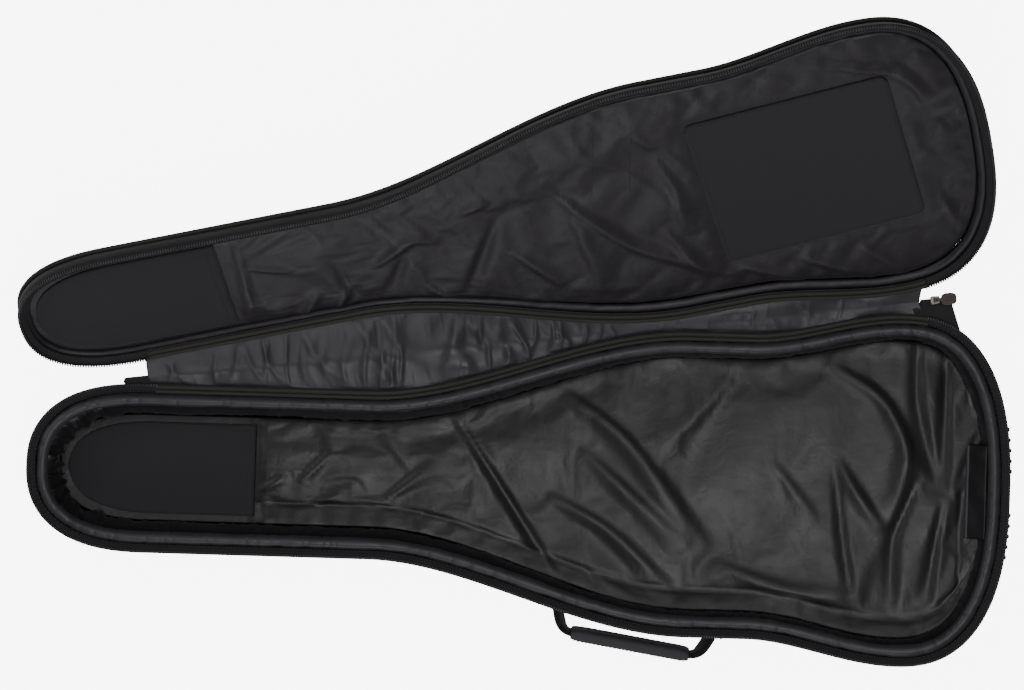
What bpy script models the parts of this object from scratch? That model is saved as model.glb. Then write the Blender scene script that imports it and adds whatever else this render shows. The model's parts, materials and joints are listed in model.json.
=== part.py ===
"""Electric guitar gig bag lying open: a padded tray, and a padded lid raised on its long side.

Metres, +Z up. The origin is the middle of the tray's flat underside. +X runs from the
headstock end to the butt end, and +Y points to the hinge side.
"""

import math

import bmesh
import bpy
from mathutils import Matrix, Vector

# Plan of the front and back panels
PANEL_HEAD_X = -0.495
PANEL_BUTT_X = 0.491
NECK_HALF_WIDTH = 0.067
SHOULDER_HALF_WIDTH = 0.145
BOUT_HALF_WIDTH = 0.169
NECK_END_X = -0.160
SHOULDER_X = 0.170
WAIST_X = 0.235
BOUT_X = 0.390
HEAD_CORNER_LENGTH = 0.105
CORNER_POWER = 2.5
CORNER_STEPS = 8
CURVE_STEPS = 8
BOUT_STEPS = 4

# Depths of the two halves, and how far their side walls lean out at the zip
TRAY_DEPTH = 0.062
LID_DEPTH = 0.024
TRAY_NECK_LEAN = 0.021
LID_NECK_LEAN = 0.006
BODY_LEAN = 0.014

# Layers of fabric and foam
GAP = 0.0003
WALL_GAP = 0.0005
SKIN = 0.0018
LINING = 0.0012
PATCH = 0.0010
BACK_FOAM = 0.012
WALL_FOAM = 0.012
LID_FOAM = 0.006
LID_WALL_FOAM = 0.005
PIPING_RADIUS = 0.0025
PIPING_LIFT = 0.0010
ROLL_RADIUS = 0.0055
ROLL_DROP = 0.0020
ROUND_SIDES = 8

# Main zip
ZIP_HEAD_X = -0.385
ZIP_BUTT_X = 0.415
ZIP_START_GAP = 0.004
TEETH_WIDTH = 0.0030
TEETH_HEIGHT = 0.0027
TAPE_WIDTH = 0.0100
TAPE_THICKNESS = 0.0011
TAPE_DROP = 0.0028
GUSSET_DROP = 0.0018
LID_WALL_DROP = 0.0030

# Hinge side
HINGE_GAP_HEAD = 0.004
HINGE_GAP_BUTT = 0.005
LID_OPENING = math.radians(136.0)
WEB_THICKNESS = 0.0012
WEB_SAG = 0.0020
WEB_HEIGHT = 0.0075
WEB_HEAD_X = -0.376
WEB_BUTT_X = 0.400

# Wear patches
TRAY_PATCH_EDGE_X = -0.281
LID_PATCH_EDGE_X = -0.285
PATCH_INSET = 0.010
BRIDGE_PATCH_CENTRE = (0.316, -0.002)
BRIDGE_PATCH_LENGTH = 0.208
BRIDGE_PATCH_WIDTH = 0.194
BRIDGE_PATCH_TURN = math.radians(-4.4)
BRIDGE_PATCH_CORNER = 0.020

# Butt bumper
BUMPER_HALF_LENGTH = 0.072
BUMPER_LOW_Z = 0.008
BUMPER_HIGH_Z = TRAY_DEPTH - 0.010
BUMPER_THICKNESS = 0.003
RIB_HEIGHT = 0.003
RIB_WIDTH = 0.005
RIB_PITCH = 0.0105
RIB_RAMP = 0.0008
RIBS_PER_SIDE = 5

# Side handle
HANDLE_X = 0.122
HANDLE_Z = 0.032
HANDLE_HALF_SPAN = 0.078
HANDLE_REACH = 0.026
STRAP_END_GAP = 0.0012
STRAP_WIDTH = 0.025
STRAP_THICKNESS = 0.0024
STRAP_BEND = 0.014
GRIP_HALF_LENGTH = 0.0625
GRIP_HEIGHT = 0.032
GRIP_THICKNESS = 0.012
GRIP_CORNER = 0.0035
ANCHOR_LENGTH = 0.030
ANCHOR_HEIGHT = 0.032
ANCHOR_THICKNESS = 0.0020

# Flap over the strap button inside the butt end
FLAP_WIDTH = 0.098
FLAP_TOP_Z = 0.042
FLAP_EDGE_X = 0.462
FLAP_EDGE_Z = 0.020
FLAP_THICKNESS = 0.0016
FLAP_BINDING_LENGTH = 0.006
FLAP_BINDING_THICKNESS = 0.0040
FLAP_WALL_GAP = 0.0031

# Tabs of fabric past the two ends of the main zip
TAIL_BUTT_X = 0.421
TAIL_HEAD_X = -0.402
TAIL_HALF_LENGTH = 0.016
TAIL_PAST_AXIS = 0.0020
TAIL_THICKNESS = 0.0014
TAIL_DROP = 0.0040

# Sliders and pullers of the main zip and of the pocket's zip
SLIDER_HALF_LENGTH = 0.005
SLIDER_HALF_WIDTH = 0.0048
SLIDER_WALL = 0.0014
SLIDER_GAP = 0.0004
SLIDER_TRAVEL = 0.010
LUG_HEIGHT = 0.0036
LUG_WIDTH = 0.0014
LUG_HALF_LENGTH = 0.0016
PIN_HEIGHT = 0.0024
PIN_RADIUS = 0.0007
PIN_CLEARANCE = 0.0003
BARREL_RADIUS = 0.0018
BARREL_LENGTH = 0.0036
PULLER_LENGTH = 0.022
PULLER_WIDTH = 0.012
PULLER_THICKNESS = 0.0026

# Accessory pocket on the outside of the lid
POCKET_HEAD_X = 0.050
POCKET_INSET = 0.022
POCKET_THICKNESS = 0.007
POCKET_SLOPE = 0.005
POCKET_PIPING_RADIUS = 0.0020
POCKET_ZIP_FROM_EDGE = 0.030
POCKET_ZIP_END_INSET = 0.026
POCKET_TAPE_WIDTH = 0.024
POCKET_TAPE_THICKNESS = 0.0010
POCKET_TEETH_WIDTH = 0.0045
POCKET_TEETH_THICKNESS = 0.0014
POCKET_SLIDER_MARGIN = 0.012

BLACK_NYLON = "#1c1b1e"
LINING_NYLON = "#2f2d32"
MATTE_PATCH = "#29282b"
BLACK_FOAM = "#151416"
PIPING_BLACK = "#232226"
TAPE_BLACK = "#1f1e20"
TEETH_GREY = "#55534f"
BUMPER_RUBBER = "#19181a"
GRIP_GREY = "#444245"
SLIDER_METAL = "#8d8780"
PULLER_BROWN = "#5f5751"


def clear_scene():
    for obj in list(bpy.data.objects):
        bpy.data.objects.remove(obj, do_unlink=True)


def make_material(name, hex_colour, roughness, metallic=0.0):
    channels = [int(hex_colour[i : i + 2], 16) / 255 for i in (1, 3, 5)]
    linear = [c / 12.92 if c <= 0.04045 else ((c + 0.055) / 1.055) ** 2.4 for c in channels]
    material = bpy.data.materials.new(name)
    material.use_nodes = True
    shader = material.node_tree.nodes["Principled BSDF"]
    shader.inputs["Base Color"].default_value = (*linear, 1.0)
    shader.inputs["Roughness"].default_value = roughness
    shader.inputs["Metallic"].default_value = metallic
    return material


def smoothstep(value, start, end):
    t = min(max((value - start) / (end - start), 0.0), 1.0)
    return t * t * (3 - 2 * t)


def panel_half_width(x):
    """Half the panel's width between its two rounded ends."""
    shoulder = (SHOULDER_HALF_WIDTH - NECK_HALF_WIDTH) * smoothstep(x, NECK_END_X, SHOULDER_X)
    bout = (BOUT_HALF_WIDTH - SHOULDER_HALF_WIDTH) * smoothstep(x, WAIST_X, BOUT_X)
    return NECK_HALF_WIDTH + shoulder + bout


def rounded_end(start_x, end_x, half_width):
    """Superellipse quarter from the end's middle to where the side starts."""
    points = []
    for step in range(CORNER_STEPS):
        angle = math.pi / 2 * (1 - step / CORNER_STEPS)
        x = start_x + (end_x - start_x) * math.sin(angle) ** (2 / CORNER_POWER)
        y = half_width * max(math.cos(angle), 0.0) ** (2 / CORNER_POWER)
        points.append((x, y if step else 0.0))
    return points


def spread(start, end, steps):
    return [start + (end - start) * i / steps for i in range(steps)]


def panel_outline():
    """Anticlockwise points of the panel, starting at the middle of the butt end."""
    head_x = PANEL_HEAD_X + HEAD_CORNER_LENGTH
    sides = spread(BOUT_X, WAIST_X, BOUT_STEPS)
    sides += spread(WAIST_X, SHOULDER_X, 1)
    sides += spread(SHOULDER_X, NECK_END_X, CURVE_STEPS)
    sides += spread(NECK_END_X, head_x, 3)
    half = rounded_end(BOUT_X, PANEL_BUTT_X, panel_half_width(BOUT_X))
    half += [(x, panel_half_width(x)) for x in sides]
    head = rounded_end(head_x, PANEL_HEAD_X, panel_half_width(head_x))
    half += [(head_x, panel_half_width(head_x))] + head[:0:-1]
    other = [(x, -y) for x, y in half[:0:-1]]
    return half + [head[0]] + other


class Outline:
    """Closed line in plan, with the outward normal at each of its points."""

    def __init__(self, points):
        self.points = [Vector(p) for p in points]
        self.normals = []
        self.lengths = [0.0]
        for i, point in enumerate(self.points):
            after = self.points[(i + 1) % len(self.points)]
            before = self.points[i - 1]
            ahead = (after - point).normalized()
            behind = (point - before).normalized()
            tangent = (ahead + behind).normalized()
            self.normals.append(Vector((tangent.y, -tangent.x)))
            self.lengths.append(self.lengths[-1] + (after - point).length)

    @property
    def total(self):
        return self.lengths[-1]

    def stations(self):
        return list(zip(self.points, self.normals))

    def at(self, distance):
        """Point and normal at a distance along the line."""
        distance %= self.total
        i = max(k for k in range(len(self.points)) if self.lengths[k] <= distance)
        j = (i + 1) % len(self.points)
        t = (distance - self.lengths[i]) / (self.lengths[i + 1] - self.lengths[i])
        return self.points[i].lerp(self.points[j], t), self.normals[i].lerp(self.normals[j], t)

    def distance_at_x(self, x, side, near_butt=False):
        """Distance along the line where it crosses x on the side with that sign of y."""
        found = []
        for i, point in enumerate(self.points):
            after = self.points[(i + 1) % len(self.points)]
            if (point.x - x) * (after.x - x) <= 0 and (point.y + after.y) * side > 0:
                t = (x - point.x) / (after.x - point.x)
                found.append(self.lengths[i] + t * (self.lengths[i + 1] - self.lengths[i]))
        return max(found) if near_butt else min(found)

    def arc(self, start, end):
        """Stations from one distance forward to another, with the points between."""
        if end <= start:
            end += self.total
        stops = []
        for turn in (0, 1):
            for length in self.lengths[:-1]:
                stops.append(length + turn * self.total)
        inner = [s for s in stops if start + 1e-4 < s < end - 1e-4]
        return [self.at(s) for s in [start, *inner, end]]


PANEL = Outline(panel_outline())


def full_lean(x, neck_lean):
    """How far the wall stands outside the panel at the zip."""
    return neck_lean + (BODY_LEAN - neck_lean) * smoothstep(x, NECK_END_X, SHOULDER_X)


def tray_lean(x, z):
    """How far the tray's wall stands outside the panel at a height."""
    return full_lean(x, TRAY_NECK_LEAN) * z / TRAY_DEPTH


def lid_lean(x, z):
    """The same for the lid, in its closed place on the tray."""
    return full_lean(x, LID_NECK_LEAN) * (TRAY_DEPTH + LID_DEPTH - z) / LID_DEPTH


def hinge_line():
    """A point on the hinge axis and its direction: the line that rests on both bulges of the rim."""
    rim = [p + n * tray_lean(p.x, TRAY_DEPTH) for p, n in PANEL.stations() if p.y > 0]
    middle_x = (NECK_END_X + SHOULDER_X) / 2
    best = None
    for head in [p for p in rim if p.x < middle_x]:
        for butt in [p for p in rim if p.x > middle_x]:
            along = (butt - head).normalized()
            outward = Vector((-along.y, along.x))
            worst = max((p - head).dot(outward) for p in rim)
            if best is None or worst < best[0]:
                best = (worst, head, butt, outward)
    _, head, butt, outward = best
    head = head + outward * HINGE_GAP_HEAD
    along = (butt + outward * HINGE_GAP_BUTT - head).normalized()
    return head, along, Vector((-along.y, along.x))


HINGE_POINT_2D, HINGE_ALONG, HINGE_OUT = hinge_line()
HINGE_POINT = Vector((*HINGE_POINT_2D, TRAY_DEPTH))
HINGE_AXIS = Vector((*HINGE_ALONG, 0.0))
LID_TURN = Matrix.Rotation(-LID_OPENING, 4, HINGE_AXIS)
LID_PLACE = Matrix.Translation(HINGE_POINT) @ LID_TURN @ Matrix.Translation(-HINGE_POINT)


def on_hinge(point):
    """The point of the hinge axis beside a point of the plan."""
    return HINGE_POINT_2D + HINGE_ALONG * (point - HINGE_POINT_2D).dot(HINGE_ALONG)


def hinge_point_at_x(x):
    t = (x - HINGE_POINT_2D.x) / HINGE_ALONG.x
    return Vector((*(HINGE_POINT_2D + HINGE_ALONG * t), TRAY_DEPTH))


def new_object(name, mesh, material, parent=None, origin=None):
    """One sub-part. Its mesh is given in world places, and stored from its parent's."""
    if origin is not None:
        mesh.transform(Matrix.Translation(-origin))
    obj = bpy.data.objects.new(name, mesh)
    bpy.context.scene.collection.objects.link(obj)
    obj.data.materials.append(material)
    if parent is not None:
        obj.parent = parent
    return obj


def new_axis(name, point, turn=None, parent=None):
    """Empty on a joint's axis, which carries the pieces that the joint moves."""
    empty = bpy.data.objects.new(name, None)
    bpy.context.scene.collection.objects.link(empty)
    matrix = Matrix.Translation(point) @ (turn or Matrix.Identity(4))
    if parent is not None:
        empty.parent = parent
        matrix = Matrix.Translation(-Vector(parent["joint_point"])) @ matrix
    empty.matrix_basis = matrix
    empty["joint_point"] = tuple(point)
    return empty


def mesh_from(name, vertices, faces):
    mesh = bpy.data.meshes.new(name)
    shape = bmesh.new()
    made = [shape.verts.new(v) for v in vertices]
    for face in faces:
        shape.faces.new([made[i] for i in face])
    bmesh.ops.recalc_face_normals(shape, faces=shape.faces)
    shape.to_mesh(mesh)
    shape.free()
    return mesh


def swept(name, sections, closed):
    """Closed solid through sections of 3-D points with the same count."""
    count = len(sections[0])
    vertices = [point for section in sections for point in section]
    faces = []
    last = len(sections) if closed else len(sections) - 1
    for i in range(last):
        a = i * count
        b = (i + 1) % len(sections) * count
        for j in range(count):
            k = (j + 1) % count
            faces.append((a + j, a + k, b + k, b + j))
    if not closed:
        faces.append(tuple(range(count)))
        faces.append(tuple(range(len(vertices) - count, len(vertices))))
    return mesh_from(name, vertices, faces)


def wall_point(station, lean, inward, z, lean_z=None):
    """A point of the wall: its inward distance from the outer face, at a height."""
    point, normal = station
    out = lean(point.x, z if lean_z is None else lean_z) - inward
    return Vector((*(point + normal * out), z))


def ring(name, lean, profile, stations=None, lean_z=None):
    """A profile of (inward distance, height) swept round the outline, or along some stations.

    The inward distance is from the wall's outer face at that height, or at lean_z.
    """
    path = stations or PANEL.stations()
    sections = [[wall_point(s, lean, d, z, lean_z) for d, z in profile] for s in path]
    return swept(name, sections, closed=stations is None)


def prism(name, lower, upper):
    """Closed solid between two loops of points with the same count."""
    count = len(lower)
    faces = [tuple(range(count)), tuple(range(count, 2 * count))]
    faces += [(i, (i + 1) % count, (i + 1) % count + count, i + count) for i in range(count)]
    return mesh_from(name, lower + upper, faces)


def plate(name, lean, low, high, lean_z=None, stations=None):
    """Flat slab between two levels, each an (inward distance, height)."""
    path = stations or PANEL.stations()
    lower = [wall_point(s, lean, *low, lean_z) for s in path]
    upper = [wall_point(s, lean, *high, lean_z) for s in path]
    return prism(name, lower, upper)


def round_profile(inward, z, radius):
    """Section of a roll or piping, as a regular polygon that lies on one of its sides."""
    corner = radius / math.cos(math.pi / ROUND_SIDES)
    angles = [2 * math.pi * (i + 0.5) / ROUND_SIDES for i in range(ROUND_SIDES)]
    return [(inward + corner * math.cos(a), z + corner * math.sin(a)) for a in angles]


def band(low_z, high_z, inward, thickness):
    """Wall section an inward distance from the wall's outer face."""
    return [
        (inward, low_z),
        (inward, high_z),
        (inward + thickness, high_z),
        (inward + thickness, low_z),
    ]


def local_box(name, frame, low, high, bevel=0.0):
    """Box between two corners of a local frame, with its long edges bevelled if asked."""
    shape = bmesh.new()
    bmesh.ops.create_cube(shape, size=1.0)
    for vertex in shape.verts:
        vertex.co = Vector(
            low[i] + (high[i] - low[i]) * (vertex.co[i] + 0.5) for i in range(3)
        )
    if bevel:
        bmesh.ops.bevel(
            shape, geom=list(shape.edges), offset=bevel, segments=1, affect="EDGES"
        )
    bmesh.ops.transform(shape, matrix=frame, verts=shape.verts)
    bmesh.ops.recalc_face_normals(shape, faces=shape.faces)
    mesh = bpy.data.meshes.new(name)
    shape.to_mesh(mesh)
    shape.free()
    return mesh


def local_cylinder(name, frame, centre, axis, radius, length, sides=12):
    """Cylinder of a local frame, along its X or its Y."""
    turn = Matrix.Rotation(math.pi / 2, 4, "Y" if axis == "X" else "X")
    shape = bmesh.new()
    bmesh.ops.create_cone(
        shape,
        cap_ends=True,
        segments=sides,
        radius1=radius,
        radius2=radius,
        depth=length,
        matrix=frame @ Matrix.Translation(Vector(centre)) @ turn,
    )
    mesh = bpy.data.meshes.new(name)
    shape.to_mesh(mesh)
    shape.free()
    return mesh


def combine(obj, meshes, operation, parent=None, origin=None):
    """Boolean of an object with helper meshes, which stay out of the model."""
    for i, mesh in enumerate(meshes):
        helper = new_object(
            f"helper_{obj.name}_{operation.lower()}_{i}", mesh, obj.data.materials[0], parent, origin
        )
        helper.hide_render = True
        helper.display_type = "WIRE"
        modifier = obj.modifiers.new(f"{operation.lower()}_{i}", "BOOLEAN")
        modifier.operation = operation
        modifier.object = helper


def frame_at(point, x_axis, z_axis):
    """Local frame with its X along a direction and its Z near another."""
    x = x_axis.normalized()
    y = z_axis.cross(x).normalized()
    z = x.cross(y)
    matrix = Matrix((x, y, z)).transposed().to_4x4()
    matrix.translation = point
    return matrix


def zip_path():
    """Stations of the rim that carry the zip: all but the hinge side."""
    start = PANEL.distance_at_x(ZIP_HEAD_X, 1)
    end = PANEL.distance_at_x(ZIP_BUTT_X, 1)
    return PANEL.arc(start, end)


def hinge_side_path(head_x, butt_x):
    """Stations of the rim along the hinge side, from butt to headstock."""
    return PANEL.arc(PANEL.distance_at_x(butt_x, 1), PANEL.distance_at_x(head_x, 1))


def binding_path():
    """Stations of the hinge side between the two ends of the zip."""
    start = PANEL.distance_at_x(ZIP_BUTT_X, 1) + ZIP_START_GAP
    end = PANEL.distance_at_x(ZIP_HEAD_X, 1) - ZIP_START_GAP
    return PANEL.arc(start, end)


def head_stations(edge_x):
    """Stations round the headstock end, from the hinge side to the free side."""
    return PANEL.arc(PANEL.distance_at_x(edge_x, 1), PANEL.distance_at_x(edge_x, -1))


def rounded_rectangle(centre, length, width, corner, turn):
    points = []
    for sign_x, sign_y, first in ((1, 1, 0), (-1, 1, 1), (-1, -1, 2), (1, -1, 3)):
        middle_x = sign_x * (length / 2 - corner)
        middle_y = sign_y * (width / 2 - corner)
        for step in range(4):
            angle = math.pi / 2 * (first + step / 3)
            x = middle_x + corner * math.cos(angle)
            y = middle_y + corner * math.sin(angle)
            turned_x = x * math.cos(turn) - y * math.sin(turn)
            turned_y = x * math.sin(turn) + y * math.cos(turn)
            points.append((centre[0] + turned_x, centre[1] + turned_y))
    return points


def build_tray(materials):
    foam_low = SKIN + GAP
    foam_high = foam_low + BACK_FOAM
    floor = foam_high + GAP
    behind_skin = SKIN + WALL_GAP
    behind_foam = behind_skin + WALL_FOAM + WALL_GAP
    inside = behind_foam + LINING
    roll_z = TRAY_DEPTH - ROLL_DROP - ROLL_RADIUS
    wall_top = roll_z - ROLL_RADIUS - GAP
    gusset_top = TRAY_DEPTH - GAP - TEETH_HEIGHT - GAP - TAPE_THICKNESS - GUSSET_DROP
    piping_z = PIPING_LIFT + PIPING_RADIUS
    lean = tray_lean

    def add(name, mesh, material):
        new_object(name, mesh, materials[material])

    add("back_panel", plate("back_panel", lean, (0, 0), (0, SKIN)), "nylon")
    foam = plate("back_foam", lean, (behind_skin, foam_low), (behind_skin, foam_high))
    add("back_foam", foam, "foam")
    lining_edge = inside + GAP
    lining = plate("back_lining", lean, (lining_edge, floor), (lining_edge, floor + LINING), floor)
    add("back_lining", lining, "lining")
    gusset = ring("tray_gusset", lean, band(foam_low, gusset_top, 0, SKIN))
    add("tray_gusset", gusset, "nylon")
    wall_foam = ring("tray_wall_foam", lean, band(floor, wall_top, behind_skin, WALL_FOAM))
    add("tray_wall_foam", wall_foam, "foam")
    wall_lining = ring("tray_wall_lining", lean, band(floor, wall_top, behind_foam, LINING))
    add("tray_wall_lining", wall_lining, "lining")
    roll_profile = round_profile(TAPE_WIDTH + GAP + ROLL_RADIUS, roll_z, ROLL_RADIUS)
    roll = ring("tray_rim_roll", lean, roll_profile, lean_z=TRAY_DEPTH)
    add("tray_rim_roll", roll, "lining")
    piping_profile = round_profile(-GAP - PIPING_RADIUS, piping_z, PIPING_RADIUS)
    piping = ring("back_piping", lean, piping_profile, lean_z=piping_z + PIPING_RADIUS)
    add("back_piping", piping, "piping")
    patch_low = floor + LINING + GAP
    patch_inset = inside + PATCH_INSET
    patch = plate(
        "back_headstock_patch",
        lean,
        (patch_inset, patch_low),
        (patch_inset, patch_low + PATCH),
        floor,
        head_stations(TRAY_PATCH_EDGE_X),
    )
    add("back_headstock_patch", patch, "patch")
    return floor + LINING, inside


def build_zip_half(prefix, lean, up, materials, parent=None, origin=None):
    """Teeth, tape and hinge-side binding of one half. up is 1 under the zip's plane, -1 over it."""
    teeth_near = TRAY_DEPTH - up * GAP
    teeth_far = teeth_near - up * TEETH_HEIGHT
    tape_near = teeth_far - up * GAP
    tape_far = tape_near - up * TAPE_THICKNESS
    teeth = [
        (GAP, teeth_near),
        (GAP, teeth_far),
        (GAP + TEETH_WIDTH, teeth_far),
        (GAP + TEETH_WIDTH, teeth_near),
    ]
    tape = [
        (GAP, tape_near),
        (GAP, tape_far),
        (TAPE_WIDTH, tape_far - up * TAPE_DROP),
        (TAPE_WIDTH, tape_near - up * TAPE_DROP),
    ]
    binding = [
        (GAP, teeth_near),
        (GAP, tape_far),
        (TAPE_WIDTH, tape_far - up * TAPE_DROP),
        (TAPE_WIDTH, teeth_near - up * TAPE_DROP),
    ]
    pieces = [
        ("zip_teeth", teeth, zip_path(), "teeth"),
        ("zip_tape", tape, zip_path(), "tape"),
        ("hinge_binding", binding, binding_path(), "tape"),
    ]
    for kind, profile, path, material in pieces:
        name = f"{prefix}_{kind}"
        mesh = ring(name, lean, profile, path, TRAY_DEPTH)
        new_object(name, mesh, materials[material], parent, origin)


def build_lid(materials):
    """The lid is made closed on the tray, and its axis turns it to its open rest."""
    axis = new_axis("lid_hinge_axis", HINGE_POINT, LID_TURN)
    top = TRAY_DEPTH + LID_DEPTH
    skin_low = top - SKIN
    foam_high = skin_low - GAP
    foam_low = foam_high - LID_FOAM
    ceiling = foam_low - GAP
    behind_skin = SKIN + WALL_GAP
    behind_foam = behind_skin + LID_WALL_FOAM + WALL_GAP
    inside = behind_foam + LINING
    gusset_base = TRAY_DEPTH + GAP + TEETH_HEIGHT + GAP + TAPE_THICKNESS + GUSSET_DROP
    wall_base = gusset_base + LID_WALL_DROP
    piping_z = top - PIPING_RADIUS
    lean = lid_lean

    def add(name, mesh, material):
        new_object(name, mesh, materials[material], axis, HINGE_POINT)

    add("front_panel", plate("front_panel", lean, (0, skin_low), (0, top)), "nylon")
    foam = plate("front_foam", lean, (behind_skin, foam_low), (behind_skin, foam_high))
    add("front_foam", foam, "foam")
    lining_edge = inside + GAP
    lining_low = ceiling - LINING
    lining = plate(
        "front_lining", lean, (lining_edge, lining_low), (lining_edge, ceiling), ceiling
    )
    add("front_lining", lining, "lining")
    gusset = ring("lid_gusset", lean, band(gusset_base, foam_high, 0, SKIN))
    add("lid_gusset", gusset, "nylon")
    wall_foam = ring("lid_wall_foam", lean, band(wall_base, ceiling, behind_skin, LID_WALL_FOAM))
    add("lid_wall_foam", wall_foam, "foam")
    wall_lining = ring("lid_wall_lining", lean, band(wall_base, ceiling, behind_foam, LINING))
    add("lid_wall_lining", wall_lining, "lining")
    piping_profile = round_profile(-GAP - PIPING_RADIUS, piping_z, PIPING_RADIUS)
    piping = ring("front_piping", lean, piping_profile, lean_z=piping_z - PIPING_RADIUS)
    add("front_piping", piping, "piping")
    patch_high = lining_low - GAP
    patch_inset = inside + PATCH_INSET
    patch = plate(
        "lid_headstock_patch",
        lean,
        (patch_inset, patch_high - PATCH),
        (patch_inset, patch_high),
        ceiling,
        head_stations(LID_PATCH_EDGE_X),
    )
    add("lid_headstock_patch", patch, "patch")
    corners = rounded_rectangle(
        BRIDGE_PATCH_CENTRE,
        BRIDGE_PATCH_LENGTH,
        BRIDGE_PATCH_WIDTH,
        BRIDGE_PATCH_CORNER,
        BRIDGE_PATCH_TURN,
    )
    lower = [Vector((x, y, patch_high - PATCH)) for x, y in corners]
    upper = [Vector((x, y, patch_high)) for x, y in corners]
    add("lid_bridge_patch", prism("lid_bridge_patch", lower, upper), "patch")
    build_zip_half("lid", lean, -1, materials, axis, HINGE_POINT)
    return axis


def build_hinge_web(materials):
    """Fabric that joins the two rims and folds on the hinge axis."""
    stations = hinge_side_path(WEB_HEAD_X, WEB_BUTT_X)
    sections = []
    for station in stations:
        axis_point = on_hinge(station[0])
        tray_side = []
        for out, depth in (
            (WALL_GAP, WEB_HEIGHT),
            (WALL_GAP, WEB_SAG),
            (WALL_GAP + WEB_THICKNESS, WEB_SAG + WEB_THICKNESS),
            (WALL_GAP + WEB_THICKNESS, WEB_HEIGHT),
        ):
            point = wall_point(station, tray_lean, -out, TRAY_DEPTH - depth, TRAY_DEPTH)
            tray_side.append(point)
        lid_side = [LID_PLACE @ Vector((p.x, p.y, 2 * TRAY_DEPTH - p.z)) for p in tray_side]
        upper_fold = Vector((*axis_point, TRAY_DEPTH - WEB_SAG))
        lower_fold = Vector((*axis_point, TRAY_DEPTH - WEB_SAG - WEB_THICKNESS))
        sections.append(
            [tray_side[0], tray_side[1], upper_fold, lid_side[1], lid_side[0]]
            + [lid_side[3], lid_side[2], lower_fold, tray_side[2], tray_side[3]]
        )
    mesh = swept("hinge_web", sections, closed=False)
    new_object("hinge_web", mesh, materials["lining"])


def build_bumper(materials):
    """Rubber strip round the butt end, with two groups of upright ribs."""
    stops = {}
    for distance in (-BUMPER_HALF_LENGTH, 0.0, BUMPER_HALF_LENGTH):
        stops[distance] = 0.0
    first = BUMPER_HALF_LENGTH - RIB_WIDTH - RIB_PITCH * (RIBS_PER_SIDE - 1) - RIB_WIDTH
    for rib in range(RIBS_PER_SIDE):
        start = first + rib * RIB_PITCH
        for offset, height in (
            (0.0, 0.0),
            (RIB_RAMP, RIB_HEIGHT),
            (RIB_WIDTH - RIB_RAMP, RIB_HEIGHT),
            (RIB_WIDTH, 0.0),
        ):
            stops[start + offset] = height
            stops[-start - offset] = height
    for length in PANEL.lengths[1:]:
        for turned in (length, length - PANEL.total):
            if abs(turned) < BUMPER_HALF_LENGTH - 1e-4:
                stops.setdefault(turned, bumper_height(stops, turned))
    sections = []
    for distance in sorted(stops):
        station = PANEL.at(distance)
        out = WALL_GAP + BUMPER_THICKNESS + stops[distance]
        profile = band(BUMPER_LOW_Z, BUMPER_HIGH_Z, -out, out - WALL_GAP)
        sections.append([wall_point(station, tray_lean, d, z) for d, z in profile])
    mesh = swept("butt_bumper", sections, closed=False)
    new_object("butt_bumper", mesh, materials["bumper"])


def bumper_height(stops, distance):
    """Height of the ribs at a distance, between the stops on its two sides."""
    before = max(s for s in stops if s <= distance)
    after = min(s for s in stops if s >= distance)
    if after == before:
        return stops[before]
    t = (distance - before) / (after - before)
    return stops[before] * (1 - t) + stops[after] * t


def handle_frame():
    """Frame on the handle's axis: X to the butt, Y away from the wall, Z up along the wall."""
    offset = WALL_GAP + ANCHOR_THICKNESS + STRAP_END_GAP
    ends = []
    for side in (-1, 1):
        distance = PANEL.distance_at_x(HANDLE_X + side * HANDLE_HALF_SPAN, -1)
        station = PANEL.at(distance)
        ends.append(wall_point(station, tray_lean, -offset, HANDLE_Z))
    chord = (ends[1] - ends[0]).normalized()
    away = Vector((chord.y, -chord.x, 0.0))
    slope = full_lean(HANDLE_X, TRAY_NECK_LEAN) / TRAY_DEPTH
    up = Vector((0, 0, 1)) + away * slope
    x_axis = chord
    z_axis = (up - chord * up.dot(chord)).normalized()
    y_axis = x_axis.cross(z_axis)
    matrix = Matrix((x_axis, y_axis, z_axis)).transposed().to_4x4()
    matrix.translation = (ends[0] + ends[1]) / 2
    return matrix, (ends[1] - ends[0]).length / 2


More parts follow.
